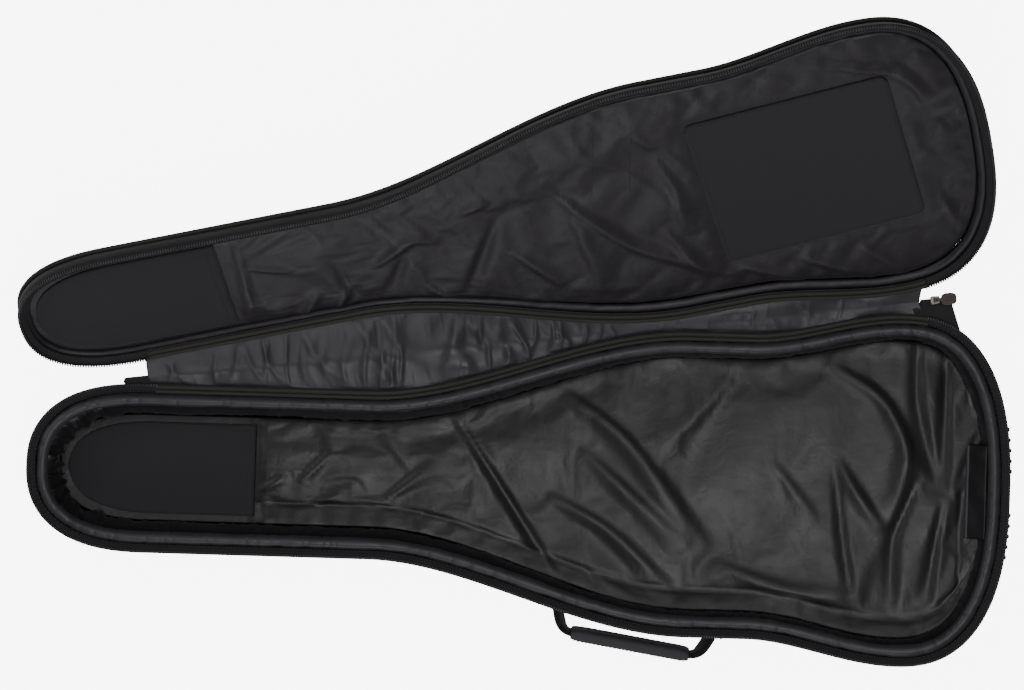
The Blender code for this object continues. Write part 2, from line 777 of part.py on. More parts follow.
def build_handle(materials):
    """Padded grip on a strap of webbing, sewn to two patches on the free side."""
    for name, side in (("handle_anchor_head", -1), ("handle_anchor_butt", 1)):
        middle = PANEL.distance_at_x(HANDLE_X + side * HANDLE_HALF_SPAN, -1)
        path = PANEL.arc(middle - ANCHOR_LENGTH / 2, middle + ANCHOR_LENGTH / 2)
        low_z = HANDLE_Z - ANCHOR_HEIGHT / 2
        out = WALL_GAP + ANCHOR_THICKNESS
        profile = band(low_z, low_z + ANCHOR_HEIGHT, -out, ANCHOR_THICKNESS)
        new_object(name, ring(name, tray_lean, profile, path), materials["tape"])

    frame, half_span = handle_frame()
    axis = new_axis("handle_axis", frame.translation)
    origin = frame.translation
    bend = half_span - STRAP_BEND
    line = [
        (-half_span, 0.0),
        (-half_span + STRAP_BEND * 0.35, HANDLE_REACH * 0.55),
        (-half_span + STRAP_BEND * 0.70, HANDLE_REACH * 0.88),
        (-bend, HANDLE_REACH),
    ]
    line += [(-x, y) for x, y in line[::-1]]
    sections = []
    for i, (x, y) in enumerate(line):
        before = Vector(line[max(i - 1, 0)])
        after = Vector(line[min(i + 1, len(line) - 1)])
        along = (after - before).normalized()
        side = Vector((-along.y, along.x)) * STRAP_THICKNESS / 2
        section = []
        for offset, z in ((-1, -1), (1, -1), (1, 1), (-1, 1)):
            point = Vector((x + side.x * offset, y + side.y * offset, z * STRAP_WIDTH / 2))
            section.append(frame @ point)
        sections.append(section)
    strap = swept("handle_webbing", sections, closed=False)
    new_object("handle_webbing", strap, materials["tape"], axis, origin)

    half_thickness = GRIP_THICKNESS / 2
    grip_mesh = local_box(
        "handle_grip",
        frame,
        (-GRIP_HALF_LENGTH, HANDLE_REACH - half_thickness, -GRIP_HEIGHT / 2),
        (GRIP_HALF_LENGTH, HANDLE_REACH + half_thickness, GRIP_HEIGHT / 2),
        GRIP_CORNER,
    )
    slot_half = (STRAP_THICKNESS / 2 + WALL_GAP, STRAP_WIDTH / 2 + WALL_GAP)
    slot = local_box(
        "handle_slot",
        frame,
        (-GRIP_HALF_LENGTH - 0.01, HANDLE_REACH - slot_half[0], -slot_half[1]),
        (GRIP_HALF_LENGTH + 0.01, HANDLE_REACH + slot_half[0], slot_half[1]),
    )
    grip = new_object("handle_grip", grip_mesh, materials["grip"], axis, origin)
    combine(grip, [slot], "DIFFERENCE", axis, origin)


def build_flap(materials):
    """Flap inside the butt end, hinged by its top edge on the lined wall."""
    inside = SKIN + WALL_GAP + WALL_FOAM + WALL_GAP + LINING
    wall_x = PANEL_BUTT_X + tray_lean(PANEL_BUTT_X, FLAP_TOP_Z) - inside
    top = Vector((wall_x - FLAP_WALL_GAP, 0.0, FLAP_TOP_Z))
    edge = Vector((FLAP_EDGE_X, 0.0, FLAP_EDGE_Z))
    length = (edge - top).length
    frame = frame_at(top, edge - top, Vector((-1, 0, 1)))
    axis = new_axis("endpin_flap_axis", top)
    half_width = FLAP_WIDTH / 2
    half = FLAP_THICKNESS / 2
    flap = local_box(
        "endpin_flap", frame, (0.0, -half_width, -half), (length - 0.001, half_width, half)
    )
    new_object("endpin_flap", flap, materials["lining"], axis, top)
    outer = FLAP_BINDING_THICKNESS / 2
    inner = half + GAP
    start = length - FLAP_BINDING_LENGTH
    profile = [
        (start, -outer),
        (length + 0.0005, -outer),
        (length + 0.0005, outer),
        (start, outer),
        (start, inner),
        (length - 0.0006, inner),
        (length - 0.0006, -inner),
        (start, -inner),
    ]
    sections = [[frame @ Vector((x, y, z)) for x, z in profile] for y in (-half_width, half_width)]
    binding = swept("endpin_flap_binding", sections, closed=False)
    new_object("endpin_flap_binding", binding, materials["tape"], axis, top)


def build_tail(name, x, materials):
    """Tab of fabric from the rim to the hinge axis, past one end of the zip."""
    frame = frame_at(hinge_point_at_x(x), HINGE_AXIS, Vector((0, 0, 1)))
    ends = [frame @ Vector((side * TAIL_HALF_LENGTH, TAIL_PAST_AXIS, 0.0)) for side in (-1, 1)]
    start = PANEL.distance_at_x(ends[1].x, 1)
    end = PANEL.distance_at_x(ends[0].x, 1)
    loops = []
    for side in (-1, 1):
        z = TRAY_DEPTH - TAIL_DROP + side * TAIL_THICKNESS / 2
        wall = [
            wall_point(s, tray_lean, -WALL_GAP, z, TRAY_DEPTH) for s in PANEL.arc(start, end)
        ]
        loops.append(wall + [Vector((p.x, p.y, z)) for p in ends])
    new_object(name, prism(name, *loops), materials["tape"])


def build_slider(names, frame, low_z, high_z, slot_low, slot_high, materials, parent=None):
    """Zip slider with two lugs and a pin, and the puller that turns on the pin.

    The frame has its X along the travel, towards the puller, and its Z up. The slot is a
    box that is cut from the body for what the slider rides on.
    """
    slider_name, puller_name = names
    origin = frame.translation.copy()
    axis = new_axis(f"{slider_name}_axis", origin, None, parent)
    body_low = (-SLIDER_HALF_LENGTH, -SLIDER_HALF_WIDTH, low_z)
    body_high = (SLIDER_HALF_LENGTH, SLIDER_HALF_WIDTH, high_z)
    body = local_box(slider_name, frame, body_low, body_high, 0.0004)
    slider = new_object(slider_name, body, materials["slider"], axis, origin)
    lug_near = BARREL_LENGTH / 2 + PIN_CLEARANCE
    lugs = []
    for side in (-1, 1):
        ys = sorted((side * lug_near, side * (lug_near + LUG_WIDTH)))
        lugs.append(
            local_box(
                f"{slider_name}_lug",
                frame,
                (-LUG_HALF_LENGTH, ys[0], high_z - SLIDER_WALL / 2),
                (LUG_HALF_LENGTH, ys[1], high_z + LUG_HEIGHT),
            )
        )
    pin_z = high_z + PIN_HEIGHT
    pin_length = 2 * lug_near + LUG_WIDTH
    pin = local_cylinder(f"{slider_name}_pin", frame, (0, 0, pin_z), "Y", PIN_RADIUS, pin_length)
    combine(slider, [*lugs, pin], "UNION", axis, origin)
    slot = local_box(f"{slider_name}_slot", frame, slot_low, slot_high)
    combine(slider, [slot], "DIFFERENCE", axis, origin)

    pin_point = frame @ Vector((0, 0, pin_z))
    pin_axis = new_axis(f"{puller_name}_axis", pin_point, None, axis)
    barrel = local_cylinder(
        puller_name, frame, (0, 0, pin_z), "Y", BARREL_RADIUS, BARREL_LENGTH, 16
    )
    puller = new_object(puller_name, barrel, materials["puller"], pin_axis, pin_point)
    neck = local_box(
        f"{puller_name}_neck",
        frame,
        (BARREL_RADIUS * 0.6, -BARREL_LENGTH * 0.45, pin_z - PULLER_THICKNESS * 0.4),
        (PULLER_LENGTH * 0.4, BARREL_LENGTH * 0.45, pin_z + PULLER_THICKNESS * 0.4),
    )
    tab = local_box(
        f"{puller_name}_tab",
        frame,
        (PULLER_LENGTH * 0.25, -PULLER_WIDTH / 2, pin_z - PULLER_THICKNESS / 2),
        (PULLER_LENGTH, PULLER_WIDTH / 2, pin_z + PULLER_THICKNESS / 2),
        0.0006,
    )
    combine(puller, [neck, tab], "UNION", pin_axis, pin_point)
    bore_radius = PIN_RADIUS + PIN_CLEARANCE
    bore = local_cylinder(
        f"{puller_name}_bore", frame, (0, 0, pin_z), "Y", bore_radius, BARREL_LENGTH + 0.002
    )
    combine(puller, [bore], "DIFFERENCE", pin_axis, pin_point)


def build_zip_ends(materials):
    """The two tabs past the zip's ends, and the slider parked on the one at the butt."""
    build_tail("zip_tail_head", TAIL_HEAD_X, materials)
    build_tail("zip_tail_butt", TAIL_BUTT_X, materials)
    centre = hinge_point_at_x(TAIL_BUTT_X) - Vector((0, 0, TAIL_DROP))
    frame = frame_at(centre, HINGE_AXIS, Vector((0, 0, 1)))
    clear = TAIL_THICKNESS / 2 + SLIDER_GAP
    high_z = clear + SLIDER_WALL
    far = 0.02
    build_slider(
        ("zip_slider", "zip_puller"),
        frame,
        -high_z,
        high_z,
        (-far, -far, -clear),
        (far, TAIL_PAST_AXIS + SLIDER_GAP, clear),
        materials,
    )


def build_pocket(materials, lid_axis):
    """Flat accessory pocket on the outside of the lid, with its own zip."""
    top = TRAY_DEPTH + LID_DEPTH
    low_z = top + GAP
    high_z = top + POCKET_THICKNESS
    start = PANEL.distance_at_x(POCKET_HEAD_X, -1)
    end = PANEL.distance_at_x(POCKET_HEAD_X, 1)
    path = PANEL.arc(start, end)

    def add(name, mesh, material):
        new_object(name, mesh, materials[material], lid_axis, HINGE_POINT)

    pocket = plate(
        "front_pocket",
        lid_lean,
        (POCKET_INSET, low_z),
        (POCKET_INSET + POCKET_SLOPE, high_z),
        top,
        path,
    )
    add("front_pocket", pocket, "nylon")
    piping_inward = POCKET_INSET - GAP - POCKET_PIPING_RADIUS
    piping_profile = round_profile(piping_inward, low_z + POCKET_PIPING_RADIUS, POCKET_PIPING_RADIUS)
    piping = ring("pocket_piping", lid_lean, piping_profile, path, top)
    add("pocket_piping", piping, "piping")

    zip_x = POCKET_HEAD_X + POCKET_ZIP_FROM_EDGE
    half_length = panel_half_width(zip_x) - POCKET_INSET - POCKET_ZIP_END_INSET
    tape_low = high_z + GAP
    tape_high = tape_low + POCKET_TAPE_THICKNESS
    teeth_low = tape_high + GAP
    teeth_high = teeth_low + POCKET_TEETH_THICKNESS
    plan = Matrix.Identity(4)
    half_tape = POCKET_TAPE_WIDTH / 2
    half_teeth = POCKET_TEETH_WIDTH / 2
    tape = local_box(
        "pocket_zip_tape",
        plan,
        (zip_x - half_tape, -half_length, tape_low),
        (zip_x + half_tape, half_length, tape_high),
    )
    add("pocket_zip_tape", tape, "tape")
    teeth = local_box(
        "pocket_zip_teeth",
        plan,
        (zip_x - half_teeth, -half_length + 0.002, teeth_low),
        (zip_x + half_teeth, half_length - 0.002, teeth_high),
    )
    add("pocket_zip_teeth", teeth, "teeth")
    rest_y = half_length - POCKET_SLIDER_MARGIN
    point = Vector((zip_x, rest_y, teeth_high))
    frame = frame_at(point, Vector((0, -1, 0)), Vector((0, 0, 1)))
    far = 0.02
    build_slider(
        ("pocket_slider", "pocket_puller"),
        frame,
        teeth_low - teeth_high,
        SLIDER_GAP + SLIDER_WALL,
        (-far, -half_teeth - SLIDER_GAP, -far),
        (far, half_teeth + SLIDER_GAP, SLIDER_GAP),
        materials,
        lid_axis,
    )


def main():
    clear_scene()
    materials = {
        "nylon": make_material("woven_nylon", BLACK_NYLON, 0.65),
        "lining": make_material("lining_nylon", LINING_NYLON, 0.38),
        "patch": make_material("matte_patch", MATTE_PATCH, 0.80),
        "foam": make_material("black_foam", BLACK_FOAM, 0.90),
        "piping": make_material("piping_tube", PIPING_BLACK, 0.45),
        "tape": make_material("zip_tape", TAPE_BLACK, 0.70),
        "teeth": make_material("zip_teeth", TEETH_GREY, 0.45),
        "bumper": make_material("bumper_rubber", BUMPER_RUBBER, 0.60),
        "grip": make_material("grip_pad", GRIP_GREY, 0.75),
        "slider": make_material("slider_metal", SLIDER_METAL, 0.35, 1.0),
        "puller": make_material("puller_rubber", PULLER_BROWN, 0.55),
    }
    build_tray(materials)
    build_zip_half("tray", tray_lean, 1, materials)
    lid_axis = build_lid(materials)
    build_hinge_web(materials)
    build_bumper(materials)
    build_handle(materials)
    build_flap(materials)
    build_zip_ends(materials)
    build_pocket(materials, lid_axis)


main()
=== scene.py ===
"""Dressed model of an electric guitar gig bag that lies open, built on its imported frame."""

from __future__ import annotations

import itertools
import json
import logging
import math
from dataclasses import dataclass, field
from enum import Enum
from typing import Sequence

import bmesh
import bpy
import numpy as np
from mathutils import Matrix, Vector

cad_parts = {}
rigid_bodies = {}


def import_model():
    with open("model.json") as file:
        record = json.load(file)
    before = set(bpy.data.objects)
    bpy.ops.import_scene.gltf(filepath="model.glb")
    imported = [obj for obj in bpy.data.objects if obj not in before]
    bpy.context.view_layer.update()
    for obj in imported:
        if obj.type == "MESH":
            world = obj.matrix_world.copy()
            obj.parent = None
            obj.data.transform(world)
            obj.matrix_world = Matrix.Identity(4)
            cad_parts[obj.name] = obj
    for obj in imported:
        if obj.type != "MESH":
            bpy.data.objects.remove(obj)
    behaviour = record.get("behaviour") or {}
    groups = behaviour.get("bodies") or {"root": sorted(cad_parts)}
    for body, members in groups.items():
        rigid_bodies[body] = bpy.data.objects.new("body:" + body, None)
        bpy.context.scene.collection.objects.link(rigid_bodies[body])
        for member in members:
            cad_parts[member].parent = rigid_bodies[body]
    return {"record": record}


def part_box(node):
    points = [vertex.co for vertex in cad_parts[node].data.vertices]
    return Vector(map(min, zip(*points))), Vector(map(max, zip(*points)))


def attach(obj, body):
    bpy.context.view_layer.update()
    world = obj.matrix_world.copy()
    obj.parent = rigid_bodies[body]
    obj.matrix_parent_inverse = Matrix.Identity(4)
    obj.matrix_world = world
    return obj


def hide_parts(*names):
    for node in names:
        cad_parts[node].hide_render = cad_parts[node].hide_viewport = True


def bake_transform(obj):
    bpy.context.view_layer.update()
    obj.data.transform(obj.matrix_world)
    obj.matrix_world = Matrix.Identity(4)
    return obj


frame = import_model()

LOG = logging.getLogger("gig_bag")
Array = np.ndarray
Settings = dict[str, object]

# Numbers of the integer hash behind the noise.
HASH_PRIMES = (73856093, 19349663, 83492791)
HASH_SEED, HASH_MIX, HASH_TURN, HASH_LIMIT = 2654435761, 1274126177, 40503, 2147483647
HASH_STEPS = 10007
# Sizes of the clouds that vary a finish's tone, in millimetres.
CLOTH_CLOUD_MM = 38.0
SOLID_CLOUD_MM = 14.0
# One wave of the wave texture is 2 pi / 20 of a unit, so one unit holds this many.
WAVES_PER_UNIT = 3.18
# Frames that the lining's cloth is left to settle.
CLOTH_FRAMES = 20
# Stations round the bag: for smooth layers, for wrinkled ones and for the ribbed guard.
COARSE_COUNT, DENSE_COUNT, RIB_COUNT = 720, 1600, 6400
# Middle of the pocket's zip along the bag.
POCKET_ZIP_X = 0.080
# Slider plates and pull tabs: steps round them, and the tab's middle, levels and eye in its frame.
PLATE_STEPS, TAB_STEPS, EYE_STEPS = 28, 36, 24
TAB_MIDDLE = 0.01375
TAB_LEVELS = (
    (-0.0012, 0.90),
    (-0.0008, 1.0),
    (0.0008, 1.0),
    (0.0012, 0.92),
    (0.0012, 0.80),
    (0.0008, 0.74),
)
EYE_PROFILE = ((0.0010, -0.0018), (0.0017, -0.0018), (0.0017, 0.0018), (0.0010, 0.0018))


class Body(str, Enum):
    """Bodies of the frame that pieces ride on."""

    TRAY = "tray"
    LID = "lid"
    HANDLE = "handle"
    FLAP = "flap"
    MAIN_SLIDER = "main_slider"
    MAIN_PULLER = "main_puller"
    SMALL_SLIDER = "small_slider"
    SMALL_PULLER = "small_puller"


# ---------------------------------------------------------------- small tools


def joint(name: str) -> dict:
    """The record's entry of a joint."""
    return next(j for j in frame["record"]["behaviour"]["joints"] if j["name"] == name)


def smoothstep(value: Array, start: float, end: float) -> Array:
    """Smooth rise from 0 at start to 1 at end."""
    t = np.clip((np.asarray(value, float) - start) / (end - start), 0.0, 1.0)
    return t * t * (3 - 2 * t)


def turns(count: int) -> Array:
    """Evenly spaced angles of a full turn."""
    return np.arange(count) * 2 * math.pi / count


def unit(vectors: Array) -> Array:
    """Rows of vectors, each scaled to a length of 1."""
    return vectors / np.linalg.norm(vectors, axis=1, keepdims=True)


def raised(points: Array, z: Array | float) -> Array:
    """3-D points over plan points, at one height or at one for each."""
    return np.concatenate([points, np.broadcast_to(z, points.shape[:-1])[..., None]], axis=-1)


def pairs(first: Array, second: Array) -> Array:
    """Grid of every pair of a value from the first row and one from the second."""
    return np.stack(np.broadcast_arrays(first[:, None], second[None, :]), axis=-1)


def spread(x: Array, half: Array, rows: int) -> Array:
    """Grid of plan points in columns at x, each from -half to half."""
    y = half[:, None] * np.linspace(-1, 1, rows)[None, :]
    return np.stack([np.broadcast_to(x[:, None], y.shape), y], axis=-1)


def run_lengths(points: Array) -> Array:
    """Length of a line up to each of its points."""
    steps = np.linalg.norm(np.diff(points, axis=0), axis=1)
    return np.concatenate([[0.0], np.cumsum(steps)])


def resampled(points: Array, lengths: Array, stops: Array) -> Array:
    """Points of a plan line at other lengths along it."""
    return np.stack([np.interp(stops, lengths, points[:, k]) for k in (0, 1)], axis=1)


def smoothed(path: Array, times: int) -> Array:
    """The row of points, smoothed in place between its ends."""
    for _ in range(times):
        path[1:-1] = (path[:-2] + 2 * path[1:-1] + path[2:]) / 4
    return path


def squared(value: float, power: float) -> float:
    """Sine or cosine raised to a power with its sign kept, for squarish rounds."""
    return math.copysign(abs(value) ** power, value)


def link_object(name: str, data: bpy.types.ID) -> bpy.types.Object:
    """New object in the scene."""
    made = bpy.data.objects.new(name, data)
    bpy.context.scene.collection.objects.link(made)
    return made


def take_mesh(shape: bmesh.types.BMesh, name: str) -> bpy.types.Mesh:
    """Mesh of a finished shape, which is freed."""
    mesh = bpy.data.meshes.new(name)
    shape.to_mesh(mesh)
    shape.free()
    return mesh


def soft_noise(points: Array, size: float | Sequence[float], seed: int) -> Array:
    """Smooth noise from -1 to 1 at points of any dimension.

    Args:
        points: Places, one in each row of the last axis.
        size: Length of one cell, or one length for each direction.
        seed: Number that picks the pattern.

    Returns:
        One value for each point.
    """
    scaled = points / np.asarray(size, float)
    cell = np.floor(scaled).astype(np.int64)
    local = scaled - cell
    fade = local**3 * (local * (local * 6 - 15) + 10)
    primes = np.array(HASH_PRIMES[: points.shape[-1]], np.int64)
    total = np.zeros(points.shape[:-1])
    for corner in itertools.product((0, 1), repeat=points.shape[-1]):
        mixed = ((cell + np.array(corner)) * primes).sum(-1) + seed * HASH_SEED
        mixed = (mixed ^ (mixed >> 13)) * HASH_MIX % HASH_LIMIT
        mixed = (mixed ^ (mixed >> 11)) * HASH_TURN % HASH_LIMIT
        value = (mixed % HASH_STEPS) / (HASH_STEPS / 2) - 1.0
        total += value * np.prod(np.where(corner, fade, 1 - fade), axis=-1)
    return total


def creases(points: Array, size: float, stretch: float, angle: float, seed: int) -> Array:
    """Long soft ridges from 0 to 1 that run along a direction of the plan.

    Args:
        points: Plan places in metres.
        size: Distance between ridges.
        stretch: How many times longer a ridge is than it is wide.
        angle: Direction of the ridges in degrees.
        seed: Number that picks the pattern.

    Returns:
        Height of the ridges at each place.
    """
    turn = math.radians(angle)
    along = points[..., 0] * math.cos(turn) + points[..., 1] * math.sin(turn)
    across = -points[..., 0] * math.sin(turn) + points[..., 1] * math.cos(turn)
    bend = 0.9 * size * soft_noise(points, 4.0 * size, seed + 5)
    place = np.stack([along, across + bend], axis=-1)
    ridge = 1 - np.abs(soft_noise(place, (size * stretch, size), seed))
    return ridge**4


@dataclass(frozen=True)
class Fold:
    """One designed fold of a lining: its line in plan, width and height in millimetres."""

    line: tuple[tuple[int, int], ...]
    width: float
    height: float

    def lift(self, points: Array) -> Array:
        """Height in metres that the fold adds at plan places in metres."""
        path = self._path()
        nearest = np.full(points.shape[:-1], 9.0)
        share = np.zeros_like(nearest)
        side = np.zeros_like(nearest)
        for number, (a, b) in enumerate(zip(path, path[1:])):
            line = b - a
            t = np.clip(((points - a) @ line) / (line @ line), 0, 1)
            gap = points - a - t[..., None] * line
            distance = np.hypot(gap[..., 0], gap[..., 1])
            nearer = distance < nearest
            nearest = np.where(nearer, distance, nearest)
            share = np.where(nearer, (number + t) / (len(path) - 1), share)
            side = np.where(nearer, line[0] * gap[..., 1] - line[1] * gap[..., 0], side)
        width = self.width * 0.001 * (0.6 + 0.7 * share)
        steep = np.where(side > 0, width * 0.5, width)
        taper = np.sin(math.pi * np.clip(share, 0.0, 1.0)) ** 0.7
        return self.height * 0.001 * np.exp(-((nearest / steep) ** 2)) * taper

    def _path(self) -> Array:
        """The fold's line as a smooth row of points, in metres."""
        knots = np.array(self.line, float) * 0.001
        stops = run_lengths(knots)
        return smoothed(resampled(knots, stops, np.linspace(0, stops[-1], 25)), 6)


# ---------------------------------------------------------------- finishes


def linear(hex_colour: str) -> tuple[float, float, float, float]:
    """Linear RGBA of an sRGB hex colour."""
    parts = [int(hex_colour[i : i + 2], 16) / 255 for i in (1, 3, 5)]
    r, g, b = (c / 12.92 if c <= 0.04045 else ((c + 0.055) / 1.055) ** 2.4 for c in parts)
    return r, g, b, 1.0


def add_node(
    tree: bpy.types.NodeTree,
    kind: str,
    values: Settings | None = None,
    links: dict[str | int, bpy.types.NodeSocket] | None = None,
    **attributes: object,
) -> bpy.types.Node:
    """Adds a node with its settings and links.

    Args:
        tree: Tree that gets the node.
        kind: Type name of the node.
        values: Default values of its inputs, by name or index.
        links: Sockets that feed its inputs, by name or index.
        attributes: Properties of the node itself.

    Returns:
        The new node.
    """
    node = tree.nodes.new(kind)
    for key, value in attributes.items():
        setattr(node, key, value)
    for key, value in (values or {}).items():
        node.inputs[key].default_value = value
    for key, source in (links or {}).items():
        tree.links.new(source, node.inputs[key])
    return node


def new_shader(name: str) -> tuple[bpy.types.Material, bpy.types.NodeTree, bpy.types.Node]:
    """New material, with its tree and its shader."""
    material = bpy.data.materials.new(name)
    material.use_nodes = True
    tree = material.node_tree
    return material, tree, tree.nodes["Principled BSDF"]


def add_math(tree: bpy.types.NodeTree, operation: str, *inputs: object) -> bpy.types.NodeSocket:
    """Math node whose inputs are numbers or sockets."""
    values = {i: v for i, v in enumerate(inputs) if isinstance(v, float)}
    links = {i: v for i, v in enumerate(inputs) if not isinstance(v, float)}
    return add_node(tree, "ShaderNodeMath", values, links, operation=operation).outputs[0]


def add_noise(
    tree: bpy.types.NodeTree, space: bpy.types.NodeSocket, cell_mm: float, **values: float
) -> bpy.types.NodeSocket:
    """Noise with cells of a size in millimetres."""
    settings = {"Scale": 1000 / cell_mm, **values}
    return add_node(tree, "ShaderNodeTexNoise", settings, {"Vector": space}).outputs["Fac"]


def add_bump(
    tree: bpy.types.NodeTree,
    height: bpy.types.NodeSocket,
    depth_mm: float,
    normal: bpy.types.NodeSocket | None = None,
) -> bpy.types.NodeSocket:
    """Bump of a depth in millimetres, on top of an earlier one if there is one."""
    links = {"Height": height}
    if normal is not None:
        links["Normal"] = normal
    values = {"Strength": 1.0, "Distance": depth_mm / 1000}
    return add_node(tree, "ShaderNodeBump", values, links).outputs[0]


def add_tones(
    tree: bpy.types.NodeTree,
    share: bpy.types.NodeSocket,
    places: tuple[float, float],
    shades: tuple[str, str],
) -> bpy.types.NodeSocket:
    """Colour between a dark and a light shade."""
    ramp = add_node(tree, "ShaderNodeValToRGB", None, {"Fac": share})
    for element, place, shade in zip(ramp.color_ramp.elements, places, shades):
        element.position = place
        element.color = linear(shade)
    return ramp.outputs["Color"]


def add_range(
    tree: bpy.types.NodeTree, value: bpy.types.NodeSocket, ends: Settings
) -> bpy.types.NodeSocket:
    """Value brought to another range."""
    return add_node(tree, "ShaderNodeMapRange", ends, {"Value": value}).outputs[0]


@dataclass(frozen=True)
class ClothFinish:
    """Woven or matted cloth, with its threads, crinkles and worn tone in millimetres."""

    name: str
    hex_dark: str
    hex_light: str
    roughness: float
    thread_mm: float
    thread_depth_mm: float
    crinkle_mm: float = 9.0
    crinkle_depth_mm: float = 0.0
    sheen: float = 0.15
    diagonal: bool = False

    def build(self) -> bpy.types.Material:
        """Makes the material. Its patterns follow the piece's own UV map, in metres."""
        material, tree, shader = new_shader(self.name)
        space = add_node(tree, "ShaderNodeTexCoord").outputs["Object"]
        weave = self._weave(tree)
        cloud = add_noise(tree, space, CLOTH_CLOUD_MM, Detail=4.0, Roughness=0.6)
        depth = add_math(tree, "MULTIPLY", weave, 0.35)
        share = add_math(tree, "MULTIPLY", cloud, 0.65)
        both = add_math(tree, "ADD", depth, share)
        tone = add_tones(tree, both, (0.25, 0.8), (self.hex_dark, self.hex_light))
        worn = {"To Min": self.roughness - 0.05, "To Max": self.roughness + 0.07}
        rough = add_range(tree, cloud, {"From Min": 0.3, "From Max": 0.7, **worn})
        normal = None
        if self.crinkle_depth_mm:
            crinkle = add_noise(tree, space, self.crinkle_mm, Detail=3.0, Distortion=0.7)
            normal = add_bump(tree, crinkle, self.crinkle_depth_mm)
        normal = add_bump(tree, weave, self.thread_depth_mm, normal)
        tree.links.new(tone, shader.inputs["Base Color"])
        tree.links.new(rough, shader.inputs["Roughness"])
        tree.links.new(normal, shader.inputs["Normal"])
        shader.inputs["Sheen Weight"].default_value = self.sheen
        shader.inputs["Sheen Roughness"].default_value = 0.5
        shader.inputs["IOR"].default_value = 1.5
        return material

    def _weave(self, tree: bpy.types.NodeTree) -> bpy.types.NodeSocket:
        """Height of the threads that cross each other."""
        place = add_node(tree, "ShaderNodeUVMap", uv_map="cloth").outputs[0]
        turn = math.radians(45) if self.diagonal else 0.0
        turned = add_node(
            tree, "ShaderNodeMapping", {"Rotation": (0, 0, turn)}, {"Vector": place}
        ).outputs[0]
        scale = 1000 / self.thread_mm / WAVES_PER_UNIT
        values = {"Scale": scale, "Distortion": 0.4, "Detail": 1.0}
        threads = [
            add_node(
                tree,
                "ShaderNodeTexWave",
                values,
                {"Vector": turned},
                wave_type="BANDS",
                bands_direction=axis,
            ).outputs["Fac"]
            for axis in ("X", "Y")
        ]
        return add_math(tree, "MAXIMUM", *threads)


@dataclass(frozen=True)
class SolidFinish:
    """Moulded plastic, rubber or plated metal, with a faint grain in millimetres."""

    name: str
    hex_dark: str
    hex_light: str
    roughness: float
    metallic: float = 0.0
    grain_mm: float = 1.2
    grain_depth_mm: float = 0.02

    def build(self) -> bpy.types.Material:
        """Makes the material on Object coordinates."""
        material, tree, shader = new_shader(self.name)
        space = add_node(tree, "ShaderNodeTexCoord").outputs["Object"]
        cloud = add_noise(tree, space, SOLID_CLOUD_MM, Detail=4.0)
        grain = add_noise(tree, space, self.grain_mm, Detail=2.0)
        tone = add_tones(tree, cloud, (0.3, 0.7), (self.hex_dark, self.hex_light))
        worn = {"To Min": self.roughness - 0.06, "To Max": self.roughness + 0.08}
        tree.links.new(tone, shader.inputs["Base Color"])
        tree.links.new(add_range(tree, cloud, worn), shader.inputs["Roughness"])
        tree.links.new(add_bump(tree, grain, self.grain_depth_mm), shader.inputs["Normal"])
        shader.inputs["Metallic"].default_value = self.metallic
        return material


RECIPES: dict[str, ClothFinish | SolidFinish] = {
    # 600 denier oxford polyester, plain woven: dull black with a visible thread.
    "oxford": ClothFinish("woven_oxford_polyester", "#0c0c0e", "#19181b", 0.74, 1.7, 0.10),
    # Calendered nylon taffeta: thin, glossy, crinkled. Its 0.2 mm thread is drawn at 1.3 mm.
    "lining": ClothFinish(
        "calendered_nylon_taffeta", "#111013", "#1d1c20", 0.40, 1.3, 0.02, 12.0, 0.35, 0.05
    ),
    # The same taffeta in the lid, a little lighter and browner.
    "lid_lining": ClothFinish(
        "calendered_nylon_taffeta_lid", "#1a161b", "#272228", 0.44, 1.3, 0.02, 12.0, 0.35, 0.05
    ),
    # Gathered taffeta without foam: it crumples sharply. Its colour is painted lighter than the
    # lining's taffeta, a painted sheen.
    "web": ClothFinish(
        "gathered_nylon_taffeta_painted_sheen", "#2b2a2e", "#3b393f", 0.42, 1.3, 0.02, 9.0, 0.2, 0.05
    ),
    # Brushed polyester with a rubbed nap, glued flat: matte and even.
    "mat": ClothFinish(
        "brushed_polyester_mat", "#252327", "#312f33", 0.88, 1.6, 0.05, 3.0, 0.08, 0.08
    ),
    # Narrow woven tape of polyester, ribbed across.
    "tape": ClothFinish("woven_zip_tape", "#0d0d10", "#18181c", 0.72, 1.4, 0.10, sheen=0.03),
    # Cord wrapped in cloth that is cut on the bias: dull, a little olive.
    "piping": ClothFinish(
        "bias_wrapped_piping", "#191816", "#272622", 0.62, 1.5, 0.08, diagonal=True
    ),
    # Padded grip in rubber-backed cloth: dark grey and dull.
    "grip": ClothFinish(
        "rubber_backed_cloth", "#2e2c30", "#3f3d41", 0.70, 1.5, 0.09, 7.0, 0.2, 0.05
    ),
    # Twisted polyester thread, a little lighter than the cloth.
    "thread": SolidFinish("twisted_polyester_thread", "#2c2b2f", "#3d3b40", 0.6),
    # Moulded acetal teeth, dyed dark and worn at their tips.
    "teeth": SolidFinish("moulded_acetal_teeth", "#2f2f33", "#45454a", 0.45),
    # Moulded rubber, dull, with a faint bloom.
    "rubber": SolidFinish("moulded_black_rubber", "#0e0d0f", "#171618", 0.85),
    # Zinc alloy, die-cast, tumbled and plated.
    "alloy": SolidFinish("plated_zinc_alloy", "#6a645d", "#8a8279", 0.34, 1.0, 0.6, 0.01),
    # Soft moulded vinyl of the pull tabs.
    "vinyl": SolidFinish("moulded_vinyl_tab", "#413a35", "#574e47", 0.55),
}


# ---------------------------------------------------------------- meshes


